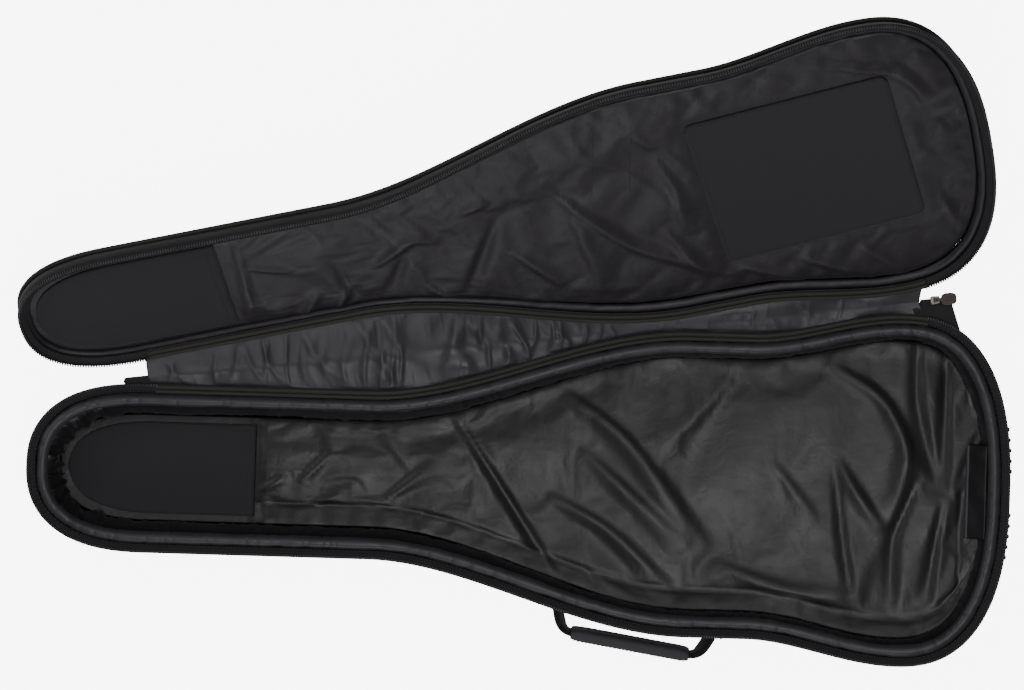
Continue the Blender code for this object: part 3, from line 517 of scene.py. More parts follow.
def mesh_from(vertices: Array, faces: list[tuple[int, ...]], corners: list) -> bpy.types.Mesh:
    """Smooth mesh with outward faces, and its cloth UV map in metres."""
    mesh = bpy.data.meshes.new("piece")
    mesh.from_pydata(np.asarray(vertices, float).tolist(), [], faces)
    layer = mesh.uv_layers.new(name="cloth")
    layer.data.foreach_set("uv", [value for corner in corners for value in corner])
    shape = bmesh.new()
    shape.from_mesh(mesh)
    bmesh.ops.recalc_face_normals(shape, faces=shape.faces)
    shape.to_mesh(mesh)
    shape.free()
    mesh.polygons.foreach_set("use_smooth", [True] * len(mesh.polygons))
    return mesh


def swept_mesh(sections: Array, closed_path: bool) -> bpy.types.Mesh:
    """Solid through sections of points, with its UV map along the path and round the profile.

    Args:
        sections: Array of stations, profile points and coordinates.
        closed_path: True if the last section joins the first one.
    """
    stations, count = sections.shape[:2]
    middle = sections.mean(axis=1)
    steps = np.linalg.norm(np.roll(middle, -1, 0) - middle, axis=1)
    along = np.concatenate([[0.0], np.cumsum(steps)])
    sides = np.linalg.norm(np.roll(sections, -1, 1) - sections, axis=2).mean(axis=0)
    across = np.concatenate([[0.0], np.cumsum(sides)])
    faces: list[tuple[int, ...]] = []
    corners: list[tuple[float, float]] = []
    for i in range(stations if closed_path else stations - 1):
        a, b = i * count, (i + 1) % stations * count
        for j in range(count):
            k = (j + 1) % count
            faces.append((a + j, a + k, b + k, b + j))
            quad = ((i, j), (i, j + 1), (i + 1, j + 1), (i + 1, j))
            corners += [(along[m], across[n]) for m, n in quad]
    if not closed_path:
        for start in (0, (stations - 1) * count):
            faces.append(tuple(range(start, start + count)))
            corners += [(0.0, across[j]) for j in range(count)]
    return mesh_from(sections.reshape(-1, 3), faces, corners)


def slab_mesh(top: Array, bottom: Array) -> bpy.types.Mesh:
    """Closed solid between two grids of points with the same shape."""
    rows, columns = top.shape[:2]
    total = rows * columns
    vertices = np.concatenate([top.reshape(-1, 3), bottom.reshape(-1, 3)])
    faces: list[tuple[int, ...]] = []
    for i in range(rows - 1):
        for a in range(i * columns, (i + 1) * columns - 1):
            quad = (a, a + 1, a + columns + 1, a + columns)
            faces += [quad, tuple(total + v for v in quad[::-1])]
    rim = list(range(columns))
    rim += [i * columns + columns - 1 for i in range(1, rows)]
    rim += [(rows - 1) * columns + j for j in range(columns - 2, -1, -1)]
    rim += [i * columns for i in range(rows - 2, 0, -1)]
    faces += [(a, b, b + total, a + total) for a, b in zip(rim, rim[1:] + rim[:1])]
    corners = [(vertices[v][0], vertices[v][1]) for face in faces for v in face]
    return mesh_from(vertices, faces, corners)


def tube_sections(path: Array, radius: float, sides: int) -> Array:
    """Round sections along a level open path of 3-D points."""
    tangent = unit(np.gradient(path, axis=0))
    side = unit(np.cross(tangent, (0.0, 0.0, 1.0)))
    upward = np.cross(side, tangent)
    angle = turns(sides)[None, :, None]
    ring = side[:, None] * np.cos(angle) + upward[:, None] * np.sin(angle)
    return path[:, None] + ring * radius


def box_mesh(name: str, size: Sequence[float], bevel: float) -> bpy.types.Mesh:
    """Small bevelled block round the origin, for items that are repeated."""
    shape = bmesh.new()
    bmesh.ops.create_cube(shape, size=1.0)
    bmesh.ops.scale(shape, vec=Vector(size), verts=shape.verts)
    bmesh.ops.bevel(shape, geom=list(shape.edges), offset=bevel, segments=1, affect="EDGES")
    return take_mesh(shape, name)


# ---------------------------------------------------------------- plan of the bag


@dataclass(frozen=True)
class Stations:
    """Points of a line in plan, with the outward normals and the lengths along it."""

    points: Array
    normals: Array
    along: Array

    def part(self, index: Array) -> "Stations":
        """The stations with these indices."""
        return Stations(self.points[index], self.normals[index], self.along[index])


@dataclass(frozen=True)
class BagPlan:
    """Plan of the bag's panels and the lean of its walls, in metres."""

    head_x: float = -0.495
    butt_x: float = 0.491
    neck_half_width: float = 0.067
    shoulder_half_width: float = 0.145
    bout_half_width: float = 0.169
    neck_end_x: float = -0.160
    shoulder_x: float = 0.170
    waist_x: float = 0.235
    bout_x: float = 0.390
    head_corner: float = 0.105
    corner_power: float = 2.5
    tray_depth: float = 0.062
    lid_depth: float = 0.024
    tray_neck_lean: float = 0.021
    lid_neck_lean: float = 0.006
    body_lean: float = 0.014
    zip_head_x: float = -0.385
    zip_butt_x: float = 0.415

    def half_width(self, x: Array) -> Array:
        """Half the panel's width between its rounded ends."""
        shoulder = self.shoulder_half_width - self.neck_half_width
        bout = self.bout_half_width - self.shoulder_half_width
        wide = self.neck_half_width + shoulder * smoothstep(x, self.neck_end_x, self.shoulder_x)
        return wide + bout * smoothstep(x, self.waist_x, self.bout_x)

    def stations(self, count: int) -> Stations:
        """Evenly spaced stations, anticlockwise from the middle of the butt end."""
        head_x = self.head_x + self.head_corner
        angle = np.linspace(math.pi / 2, 0, 60)
        power = 2 / self.corner_power
        butt = self._corner(angle, self.bout_x, self.butt_x, power)
        xs = np.linspace(self.bout_x, head_x, 300)[1:-1]
        side = np.stack([xs, self.half_width(xs)], axis=1)
        head = self._corner(angle, head_x, self.head_x, power)[::-1]
        half = np.concatenate([butt, side, head])
        line = np.concatenate([half, half[-2:0:-1] * (1, -1)])
        closed = np.concatenate([line, line[:1]])
        lengths = run_lengths(closed)
        stops = np.linspace(0, lengths[-1], count, endpoint=False)
        points = resampled(closed, lengths, stops)
        tangent = unit(np.roll(points, -2, 0) - np.roll(points, 2, 0))
        normals = np.stack([tangent[:, 1], -tangent[:, 0]], axis=1)
        return Stations(points, normals, stops)

    def _corner(self, angle: Array, start_x: float, end_x: float, power: float) -> Array:
        """Rounded end from its middle to where the side starts."""
        wide = float(self.half_width(np.array(start_x)))
        x = start_x + (end_x - start_x) * np.sin(angle) ** power
        y = wide * np.maximum(np.cos(angle), 0.0) ** power
        return np.stack([x, y], axis=1)

    def lean(self, x: Array, z: Array | float, lid: bool) -> Array:
        """How far a wall stands outside the panel at a height."""
        neck = self.lid_neck_lean if lid else self.tray_neck_lean
        full = neck + (self.body_lean - neck) * smoothstep(x, self.neck_end_x, self.shoulder_x)
        if lid:
            return full * (self.tray_depth + self.lid_depth - z) / self.lid_depth
        return full * z / self.tray_depth

    def wall(self, line: Stations, profile: Array, lid: bool, lean_z: float | None = None) -> Array:
        """Sections of a wall through a profile of (inward distance, height).

        Args:
            line: Stations that the wall follows.
            profile: Profile points, the same at each station or one row for each.
            lid: True for the lid in its closed place.
            lean_z: Height that the inward distance is measured at, if not the point's own.

        Returns:
            Array of stations, profile points and coordinates.
        """
        shape = np.broadcast_to(profile, (len(line.points), *np.shape(profile)[-2:]))
        inward, z = shape[..., 0], shape[..., 1]
        x = line.points[:, None, 0]
        out = self.lean(x, z if lean_z is None else lean_z, lid) - inward
        flat = line.points[:, None] + line.normals[:, None] * out[..., None]
        return raised(flat, z)

    def hinge_side(self, line: Stations, head_x: float, butt_x: float) -> Array:
        """Indices of the stations on the hinge side, from butt to headstock."""
        x, y = line.points[:, 0], line.points[:, 1]
        return np.flatnonzero((y > 0) & (x > head_x) & (x < butt_x))

    def zip_side(self, line: Stations) -> Array:
        """Indices of the stations that carry the zip, in one run that laps the hinge side."""
        hinge = self.hinge_side(line, self.zip_head_x, self.zip_butt_x)
        count = len(line.points)
        return np.arange(hinge[-1] - 1, hinge[0] + count + 2) % count


def piping_profile(inward: float, z: float, radius: float, flange: float) -> Array:
    """Profile of a piping cord, with the flange that is sewn into its seam."""
    angle = np.radians(np.linspace(30, 330, 10))
    cord = np.stack([inward + radius * np.cos(angle), z + radius * np.sin(angle)], axis=1)
    return np.concatenate([cord, [(flange, z - 0.0005), (flange, z + 0.0005)]])


def band_profile(
    low_z: float, high_z: float, inward: float, thickness: float, rows: int, bulge: Sequence[float]
) -> Array:
    """Profile of a wall layer, with rounded edges and swelling faces.

    Args:
        low_z: Lower edge.
        high_z: Upper edge.
        inward: Inward distance of the outer face.
        thickness: Thickness of the layer.
        rows: Rows of points up each face.
        bulge: How far the outer and the inner face swell.

    Returns:
        Profile points, up the outer face and down the inner one.
    """
    t = np.linspace(0, 1, rows)
    swell = np.sin(math.pi * t) ** 0.8
    edge = 0.3 * thickness * (np.exp(-t * rows * 0.9) + np.exp(-(1 - t) * rows * 0.9))
    z = low_z + (high_z - low_z) * t
    outer = np.stack([inward - bulge[0] * swell + edge, z], axis=1)
    inner = np.stack([inward + thickness + bulge[1] * swell - edge, z], axis=1)
    return np.concatenate([outer, inner[::-1]])


def wall_layer(line: Stations, profile: Array) -> tuple[Array, Array]:
    """A profile for each station, and the places of its points as lengths along and heights."""
    shape = np.broadcast_to(profile, (len(line.points), *profile.shape)).copy()
    return shape, pairs(line.along, profile[:, 1])


@dataclass
class PanelGrid:
    """Grid of plan points that fills a panel up to an inset line."""

    plan: BagPlan
    grow: float
    columns: int = 260
    rows: int = 72
    tip: float = 0.010
    points: Array = field(init=False)
    edge_distance: Array = field(init=False)

    def __post_init__(self) -> None:
        """Lays out the grid. grow is how far its edge lies outside the panel's own outline."""
        line = self.plan.stations(DENSE_COUNT)
        half = (line.points + line.normals * self.grow)[: DENSE_COUNT // 2 + 1]
        half = half[half[:, 1] >= 0]
        lengths = run_lengths(half)
        stops = np.linspace(self.tip, lengths[-1] - self.tip, self.columns - 2)
        xs, ys = resampled(half, lengths, stops).T
        self.x = np.concatenate([[half[0, 0]], xs, [half[-1, 0]]])
        self.half = np.concatenate([[ys[0] * 0.8], ys, [ys[-1] * 0.8]])
        t = np.linspace(-1, 1, self.rows)
        self.points = spread(self.x, self.half, self.rows)
        to_side = self.half[:, None] * (1 - np.abs(t))[None, :]
        to_end = np.minimum(self.x[0] - self.x, self.x - self.x[-1])[:, None]
        self.edge_distance = np.minimum(to_side, np.maximum(to_end, 0.0))

    def sample(self, values: Array, places: Array) -> Array:
        """Values of the grid at plan places, between its points."""
        order = np.argsort(self.x)
        column = np.interp(places[..., 0], self.x[order], np.arange(len(self.x))[order])
        half = np.interp(places[..., 0], self.x[order], self.half[order])
        t = np.clip(places[..., 1] / half, -1, 1)
        row = (t + 1) / 2 * (self.rows - 1)
        c0 = np.clip(np.floor(column).astype(int), 0, len(self.x) - 2)
        r0 = np.clip(np.floor(row).astype(int), 0, self.rows - 2)
        cf, rf = column - c0, row - r0
        low = values[c0, r0] * (1 - rf) + values[c0, r0 + 1] * rf
        high = values[c0 + 1, r0] * (1 - rf) + values[c0 + 1, r0 + 1] * rf
        return low * (1 - cf) + high * cf


def crumple(grid: PanelGrid, height: Array, held: Array, growth: float, cap: float) -> Array:
    """Lets a cloth that is cut a little too large buckle over its foam.

    Args:
        grid: Grid of the cloth in plan.
        height: Designed height over the foam at each point.
        held: Share from 0 to 1 that each point is sewn down.
        growth: How much larger the cloth is cut than its place.
        cap: Most that a point may move.

    Returns:
        New heights over the foam.
    """
    start = raised(grid.points, height)
    columns, rows = height.shape
    faces = [
        (i * rows + j, i * rows + j + 1, (i + 1) * rows + j + 1, (i + 1) * rows + j)
        for i in range(columns - 1)
        for j in range(rows - 1)
    ]
    mesh = bpy.data.meshes.new("crumple")
    mesh.from_pydata(start.reshape(-1, 3).tolist(), [], faces)
    cloth_object = link_object("crumple", mesh)
    group = cloth_object.vertex_groups.new(name="held")
    weights = np.round(held.reshape(-1), 2)
    for weight in np.unique(weights):
        if weight > 0:
            group.add(np.flatnonzero(weights == weight).tolist(), float(weight), "REPLACE")
    modifier = cloth_object.modifiers.new("cloth", "CLOTH")
    settings = modifier.settings
    settings.quality = 5
    settings.mass = 0.1
    settings.tension_stiffness = 25
    settings.compression_stiffness = 25
    settings.shear_stiffness = 12
    settings.bending_stiffness = 0.35
    settings.vertex_group_mass = group.name
    settings.shrink_min = -growth
    settings.effector_weights.gravity = 0.0
    modifier.collision_settings.use_collision = False
    scene = bpy.context.scene
    for number in range(1, CLOTH_FRAMES + 1):
        scene.frame_set(number)
    graph = bpy.context.evaluated_depsgraph_get()
    moved = cloth_object.evaluated_get(graph).to_mesh()
    after = np.empty(len(moved.vertices) * 3)
    moved.vertices.foreach_get("co", after)
    cloth_object.evaluated_get(graph).to_mesh_clear()
    scene.frame_set(1)
    bpy.data.objects.remove(cloth_object, do_unlink=True)
    bpy.data.meshes.remove(mesh)
    lift = after.reshape(columns, rows, 3)[..., 2] - height
    return height + np.clip(lift, -cap, cap) * (1 - held)


# ---------------------------------------------------------------- repeated items


class PathRepeat:
    """Geometry Nodes tree that repeats a small item along a path."""

    def __init__(self) -> None:
        """Builds the tree with its named inputs."""
        tree = bpy.data.node_groups.new("repeat_along_path", "GeometryNodeTree")
        kinds = {
            "Path": "NodeSocketGeometry",
            "Item": "NodeSocketObject",
            "Pitch": "NodeSocketFloat",
            "Up": "NodeSocketVector",
            "Finish": "NodeSocketMaterial",
        }
        self.ids: dict[str, str] = {}
        for name, kind in kinds.items():
            socket = tree.interface.new_socket(name, in_out="INPUT", socket_type=kind)
            self.ids[name] = socket.identifier
        tree.interface.new_socket("Result", in_out="OUTPUT", socket_type="NodeSocketGeometry")
        given = add_node(tree, "NodeGroupInput").outputs
        curve = add_node(tree, "GeometryNodeMeshToCurve", None, {"Mesh": given["Path"]})
        even = add_node(
            tree,
            "GeometryNodeResampleCurve",
            None,
            {"Curve": curve.outputs[0], "Length": given["Pitch"]},
            mode="LENGTH",
        )
        tangent = add_node(tree, "GeometryNodeInputTangent")
        ahead = add_node(
            tree,
            "FunctionNodeAlignRotationToVector",
            None,
            {"Vector": tangent.outputs[0]},
            axis="X",
        )
        upright = add_node(
            tree,
            "FunctionNodeAlignRotationToVector",
            None,
            {"Rotation": ahead.outputs[0], "Vector": given["Up"]},
            axis="Z",
            pivot_axis="X",
        )
        item = add_node(tree, "GeometryNodeObjectInfo", None, {"Object": given["Item"]})
        placed = add_node(
            tree,
            "GeometryNodeInstanceOnPoints",
            None,
            {
                "Points": even.outputs[0],
                "Instance": item.outputs["Geometry"],
                "Rotation": upright.outputs[0],
            },
        )
        real = add_node(
            tree, "GeometryNodeRealizeInstances", None, {"Geometry": placed.outputs[0]}
        )
        painted = add_node(
            tree,
            "GeometryNodeSetMaterial",
            None,
            {"Geometry": real.outputs[0], "Material": given["Finish"]},
        )
        add_node(tree, "NodeGroupOutput", None, {0: painted.outputs[0]})
        self.tree = tree

    def run(
        self,
        paths: Sequence[Array],
        item: bpy.types.Mesh,
        pitch: float,
        material: bpy.types.Material,
        up: tuple[float, float, float] = (0.0, 0.0, 1.0),
    ) -> bpy.types.Mesh:
        """Repeats the item along open paths of 3-D points, and returns one plain mesh."""
        edges = []
        start = 0
        for path in paths:
            edges += [(start + i, start + i + 1) for i in range(len(path) - 1)]
            start += len(path)
        line = bpy.data.meshes.new("path")
        line.from_pydata(np.concatenate(paths).tolist(), edges, [])
        carrier, helper = link_object("carrier", line), link_object("item", item)
        modifier = carrier.modifiers.new("repeat", "NODES")
        modifier.node_group = self.tree
        modifier[self.ids["Item"]] = helper
        modifier[self.ids["Pitch"]] = pitch
        modifier[self.ids["Up"]] = up
        modifier[self.ids["Finish"]] = material
        bpy.context.view_layer.update()
        graph = bpy.context.evaluated_depsgraph_get()
        mesh = bpy.data.meshes.new_from_object(carrier.evaluated_get(graph))
        carrier.modifiers.remove(modifier)
        for made in (carrier, helper):
            bpy.data.objects.remove(made, do_unlink=True)
        return mesh


def stitch_item() -> bpy.types.Mesh:
    """One sewn stitch: 3 mm of thread that dips at both ends."""
    shape = bmesh.new()
    bmesh.ops.create_uvsphere(shape, u_segments=6, v_segments=5, radius=1.0)
    turn = Matrix.Rotation(math.pi / 2, 4, "Y")
    scale = Matrix.Diagonal((0.0016, 0.00045, 0.0004, 1.0))
    bmesh.ops.transform(shape, matrix=scale @ turn, verts=shape.verts)
    return take_mesh(shape, "stitch")


@dataclass
class Workshop:
    """What all sub-assemblies share: the plan, the finishes and the repeating tree."""

    plan: BagPlan
    finishes: dict[str, bpy.types.Material]
    repeat: PathRepeat
    line: Stations
    dense_line: Stations
    lid_place: Matrix
    hinge_point: Vector
    hinge_axis: Vector

    def piece(
        self,
        name: str,
        mesh: bpy.types.Mesh,
        finish: str,
        body: Body | None,
        slot: str,
        nodes: Sequence[str] = (),
    ) -> bpy.types.Object:
        """Puts a finished mesh in the scene as one piece of the bag.

        Args:
            name: Name of the piece.
            mesh: Its mesh, in the row frame or in the lid's closed place.
            finish: Key of its finish.
            body: Body that it rides on, or None for one that rides on no body.
            slot: Material slot of the record; not used.
            nodes: CAD nodes that it stands for.

        Returns:
            The new object, brought to its open rest if it belongs to the lid.
        """
        if body is Body.LID:
            mesh.transform(self.lid_place)
        mesh.name = name
        mesh.materials.clear()
        mesh.materials.append(self.finishes[finish])
        piece = link_object(name, mesh)
        if nodes:
            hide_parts(*nodes)
        if body is not None:
            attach(piece, body.value)
        LOG.info("%s: %d faces", name, len(mesh.polygons))
        return piece

    def stitches(
        self,
        name: str,
        paths: Sequence[Array],
        body: Body,
        slot: str,
        pitch: float = 0.0042,
        up: tuple[float, float, float] = (0.0, 0.0, 1.0),
    ) -> None:
        """Rows of stitches along paths, as one piece."""
        mesh = self.repeat.run(paths, stitch_item(), pitch, self.finishes["thread"], up)
        self.piece(name, mesh, "thread", body, slot)

    def teeth(
        self, name: str, path: Array, body: Body, node: str, size: Sequence[float], pitch: float
    ) -> None:
        """One row of zip teeth along a path, in place of its CAD strip."""
        item = box_mesh("tooth", size, min(size) * 0.28)
        mesh = self.repeat.run([path], item, pitch, self.finishes["teeth"])
        mesh.polygons.foreach_set("use_smooth", [False] * len(mesh.polygons))
        self.piece(name, mesh, "teeth", body, "zip_teeth", (node,))


# ---------------------------------------------------------------- the two halves


@dataclass(frozen=True)
class MatArea:
    """Rectangle in plan that a mat covers, turned about its middle."""

    middle: tuple[float, float]
    half: tuple[float, float]
    turn_deg: float = 0.0

    def cover(self, points: Array) -> Array:
        """Share from 0 to 1 that plan places are covered."""
        local = np.abs((points - self.middle) @ self._turn().T)
        beyond = local - self.half
        free = 1 - smoothstep(beyond, -0.004, 0.012)
        return free[..., 0] * free[..., 1]

    def place(self, local: Array) -> Array:
        """Plan places of points in the mat's own frame."""
        return local @ self._turn() + self.middle

    def _turn(self) -> Array:
        """Rows of the mat's own axes."""
        angle = math.radians(self.turn_deg)
        return np.array([(math.cos(angle), math.sin(angle)), (-math.sin(angle), math.cos(angle))])


@dataclass
class Lining:
    """Wrinkled lining over its foam, with the matte mats that are sewn on it."""

    shop: Workshop
    lid: bool
    grow: float
    foam_z: float
    face_z: float
    puff: float
    folds: tuple[Fold, ...]
    mats: tuple[MatArea, ...]
    seed: int
    wrinkle: float

    def __post_init__(self) -> None:
        """Lays out the grid and works out the lining's height over its flat CAD face."""
        self.grid = PanelGrid(self.shop.plan, self.grow)
        self.lift = self._surface()
        self.body = Body.LID if self.lid else Body.TRAY

    def _surface(self) -> Array:
        """Height of the lining over its flat CAD face."""
        grid = self.grid
        points = grid.points
        inside = grid.edge_distance
        lift = self.puff * (1 - np.exp(-inside / 0.016))
        if not self.lid:
            share = points[..., 1] / grid.half[:, None]
            lift = lift + 0.0062 * smoothstep(share, -1.1, 0.7) * (1 - np.exp(-inside / 0.020))
            lift = lift + 0.0055 * np.exp(-((inside / 0.014) ** 2))
            seam = np.exp(-(((inside - 0.022) / 0.0030) ** 2)) * (points[..., 1] < 0)
            lift = lift - 0.0014 * seam
        for fold in self.folds:
            lift = lift + fold.lift(points)
        wide = creases(points, 0.045, 5.0, 62.0 if self.lid else 118.0, self.seed)
        fine = creases(points, 0.019, 4.0, 78.0 if self.lid else 100.0, self.seed + 9)
        patchy = 0.5 + 0.5 * soft_noise(points, 0.14, self.seed + 3)
        ripple = 0.0016 * wide * patchy + 0.0007 * fine * (1 - 0.6 * patchy)
        gather = soft_noise(points, (0.013, 0.013), self.seed + 21)
        ripple = ripple + 0.0009 * gather * np.exp(-((grid.edge_distance / 0.020) ** 2))
        lift = lift + self.wrinkle * ripple
        held = np.exp(-grid.edge_distance / 0.004)
        for mat in self.mats:
            covered = mat.cover(points)
            lift = lift * (1 - 0.75 * covered)
            held = np.maximum(held, 0.9 * covered)
        held = np.where(grid.edge_distance < 0.003, 1.0, held)
        lift = crumple(grid, lift, held, 0.008 * self.wrinkle, 0.004 * self.wrinkle)
        return np.maximum(lift, 0.0)

    def level(self, places: Array, above: float) -> Array:
        """3-D points on the lining at plan places, a little above its cloth."""
        rise = self.grid.sample(self.lift, places) + above
        return raised(places, self.face_z - rise if self.lid else self.face_z + rise)

    def pad(self, name: str, nodes: Sequence[str]) -> None:
        """Builds the pad of foam under its lining."""
        top = self.level(self.grid.points, 0.0)
        mesh = slab_mesh(top, raised(top[..., :2], self.foam_z))
        finish = "lid_lining" if self.lid else "lining"
        pad = self.shop.piece(name, mesh, finish, self.body, "lining_nylon", nodes)

    def mat(self, name: str, node: str, area: Array) -> None:
        """Sews a matte mat on the lining, over a grid of plan points."""
        mesh = slab_mesh(self.level(area, 0.0016), self.level(area, 0.0004))
        piece = self.shop.piece(name, mesh, "mat", self.body, "matte_patch", (node,))


@dataclass
class TrayHalf:
    """The lower half: back, padded walls, rolled rim, zip tape and base piping."""

    shop: Workshop
    roll_z: float = 0.0545
    roll_radius: float = 0.0055

    def build(self) -> None:
        """Builds every piece of the tray."""
        self._outside()
        self._padding()
        self._rim()
        self._floor()

    def _outside(self) -> None:
        """Back panel, side wall and piping."""
        shop, plan = self.shop, self.shop.plan
        grid = PanelGrid(plan, 0.0, 200, 40)
        low = raised(grid.points, 0.0)
        high = low + (0, 0, 0.0018)
        mesh = slab_mesh(high, low)
        shop.piece("tray_back_cloth", mesh, "oxford", Body.TRAY, "woven_nylon", ["back_panel"])
        rows = 12
        profile = band_profile(0.0021, 0.0576, 0.0, 0.0018, rows, (0.0045, -0.0035))
        shape, place = wall_layer(shop.line, profile)
        sag = soft_noise(place, (0.085, 0.045), 4) + 0.5 * soft_noise(place, (0.03, 0.02), 8)
        mask = np.sin(math.pi * np.clip(profile[:, 1] / 0.056, 0, 1))
        shape[..., 0] -= 0.0011 * sag * mask
        mesh = swept_mesh(plan.wall(shop.line, shape, False), True)
        shop.piece("tray_side_cloth", mesh, "oxford", Body.TRAY, "woven_nylon", ["tray_gusset"])
        cord = piping_profile(-0.0028, 0.0035, 0.0024, 0.0020)
        mesh = swept_mesh(plan.wall(shop.line, cord, False, 0.006), True)
        shop.piece("base_piping_tube", mesh, "piping", Body.TRAY, "piping_tube", ["back_piping"])

    def _padding(self) -> None:
        """Foam of the wall under its gathered lining."""
        shop, plan = self.shop, self.shop.plan
        rows = 14
        line = shop.dense_line
        profile = band_profile(0.0150, 0.0500, 0.0023, 0.0137, rows, (0.0, 0.0022))
        shape, place = wall_layer(line, profile)
        ruffle = creases(place, 0.0085, 7.0, 84.0, 31) + 0.7 * creases(place, 0.013, 5.0, 100.0, 35)
        slow = soft_noise(place, (0.055, 0.030), 33)
        head = 1 - smoothstep(line.points[:, 0], -0.475, -0.40)
        strength = 0.0012 + 0.0042 * head
        inner = (np.arange(2 * rows) >= rows).astype(float)
        shape[..., 0] += (strength[:, None] * ruffle + 0.0012 * slow) * inner
        mesh = swept_mesh(plan.wall(line, shape, False), True)
        nodes = ["tray_wall_foam", "tray_wall_lining"]
        pad = shop.piece("tray_wall_pad", mesh, "lining", Body.TRAY, "lining_nylon", nodes)

    def _rim(self) -> None:
        """Rolled rim, zip tape, teeth and the binding on the hinge side."""
        shop, plan = self.shop, self.shop.plan
        sides = 16
        line = shop.dense_line
        place = pairs(line.along, np.arange(sides) * 0.0022)
        pinch = creases(place, 0.012, 6.0, 78.0, 51) + 0.8 * creases(place, 0.021, 5.0, 104.0, 57)
        slow = soft_noise(place, (0.045, 0.05), 58)
        radius = self.roll_radius * (1.17 - 0.13 * pinch + 0.05 * slow)
        angle = turns(sides)
        middle = 0.0103 + self.roll_radius + 0.0006
        shape = np.stack(
            [middle + radius * np.cos(angle), self.roll_z + radius * np.sin(angle)], axis=-1
        )
        mesh = swept_mesh(plan.wall(line, shape, False, plan.tray_depth), True)
        # The roll's finish is painted lighter as a painted sheen.
        roll = shop.piece("rim_roll", mesh, "web", Body.TRAY, "lining_nylon", ["tray_rim_roll"])
        build_zip_half(shop, line.part(plan.zip_side(line)), False)

    def _floor(self) -> None:
        """Wrinkled floor lining and the headstock mat on it."""
        shop = self.shop
        folds = (
            Fold(((-75, 67), (-19, -15), (37, -99)), 6, 4.0),
            Fold(((33, 97), (105, 47), (200, -76)), 14, 4.5),
            Fold(((59, 33), (112, -14), (175, -70)), 12, 4.0),
            Fold(((26, -15), (92, -51), (161, -117)), 12, 4.0),
            Fold(((208, 98), (156, 48), (162, 21)), 14, 2.0),
            Fold(((311, 132), (375, 97), (404, 42), (386, -41)), 10, 5.0),
            Fold(((327, 31), (347, -2), (378, -45)), 9, 4.5),
            Fold(((325, 26), (336, -54), (351, -136)), 7, -3.5),
            Fold(((415, 18), (388, -52), (391, -134)), 8, -4.5),
            Fold(((440, -8), (432, -62), (425, -133)), 7, -4.0),
            Fold(((409, 170), (409, 94), (435, -14)), 10, -5.0),
            Fold(((438, 163), (440, 74), (440, -8)), 8, -4.0),
            Fold(((337, 147), (387, 162)), 8, 3.0),
            Fold(((258, 27), (284, -6), (310, -38)), 10, 2.5),
            Fold(((-275, -22), (-247, -3)), 6, 2.5),
            Fold(((-234, -11), (-201, 22)), 6, 2.5),
            Fold(((-220, -31), (-189, -22)), 5, 2.0),
            Fold(((113, 127), (186, 140)), 9, 2.5),
            Fold(((-144, -27), (-103, 6)), 8, 2.0),
            Fold(((192, -80), (277, -108), (361, -116)), 12, 3.0),
        )
        head = MatArea((-0.4405, 0.0), (0.1595, 0.2))
        lining = Lining(shop, False, -0.0112, 0.0021, 0.0152, 0.0030, folds, (head,), 11, 0.5)
        lining.pad("tray_floor_pad", ["back_foam", "back_lining"])
        area = head_cut(lining.grid, -0.281, 0.008)
        lining.mat("tray_headstock_mat", "back_headstock_patch", area)
        rows = [lining.level(cross_line(x, 0.047), 0.0020) for x in (-0.2845, -0.2915)]
        shop.stitches("tray_mat_stitches", rows, Body.TRAY, "matte_patch")


def head_cut(grid: PanelGrid, edge_x: float, inset: float) -> Array:
    """Grid of plan points over the headstock end of a lining."""
    tip = float(grid.x.min()) + inset
    xs = np.concatenate([np.linspace(edge_x, tip + 0.03, 40), tip + 0.03 * np.linspace(0.9, 0, 12)])
    order = np.argsort(grid.x)
    half = np.interp(xs - inset, grid.x[order], grid.half[order])
    half = np.maximum(half - inset, 0.004)
    return spread(xs, half, 30)


def cross_line(x: float, half: float) -> Array:
    """Plan points of a seam straight across the bag."""
    y = np.linspace(-half, half, 60)
    return np.stack([np.full_like(y, x), y], axis=-1)


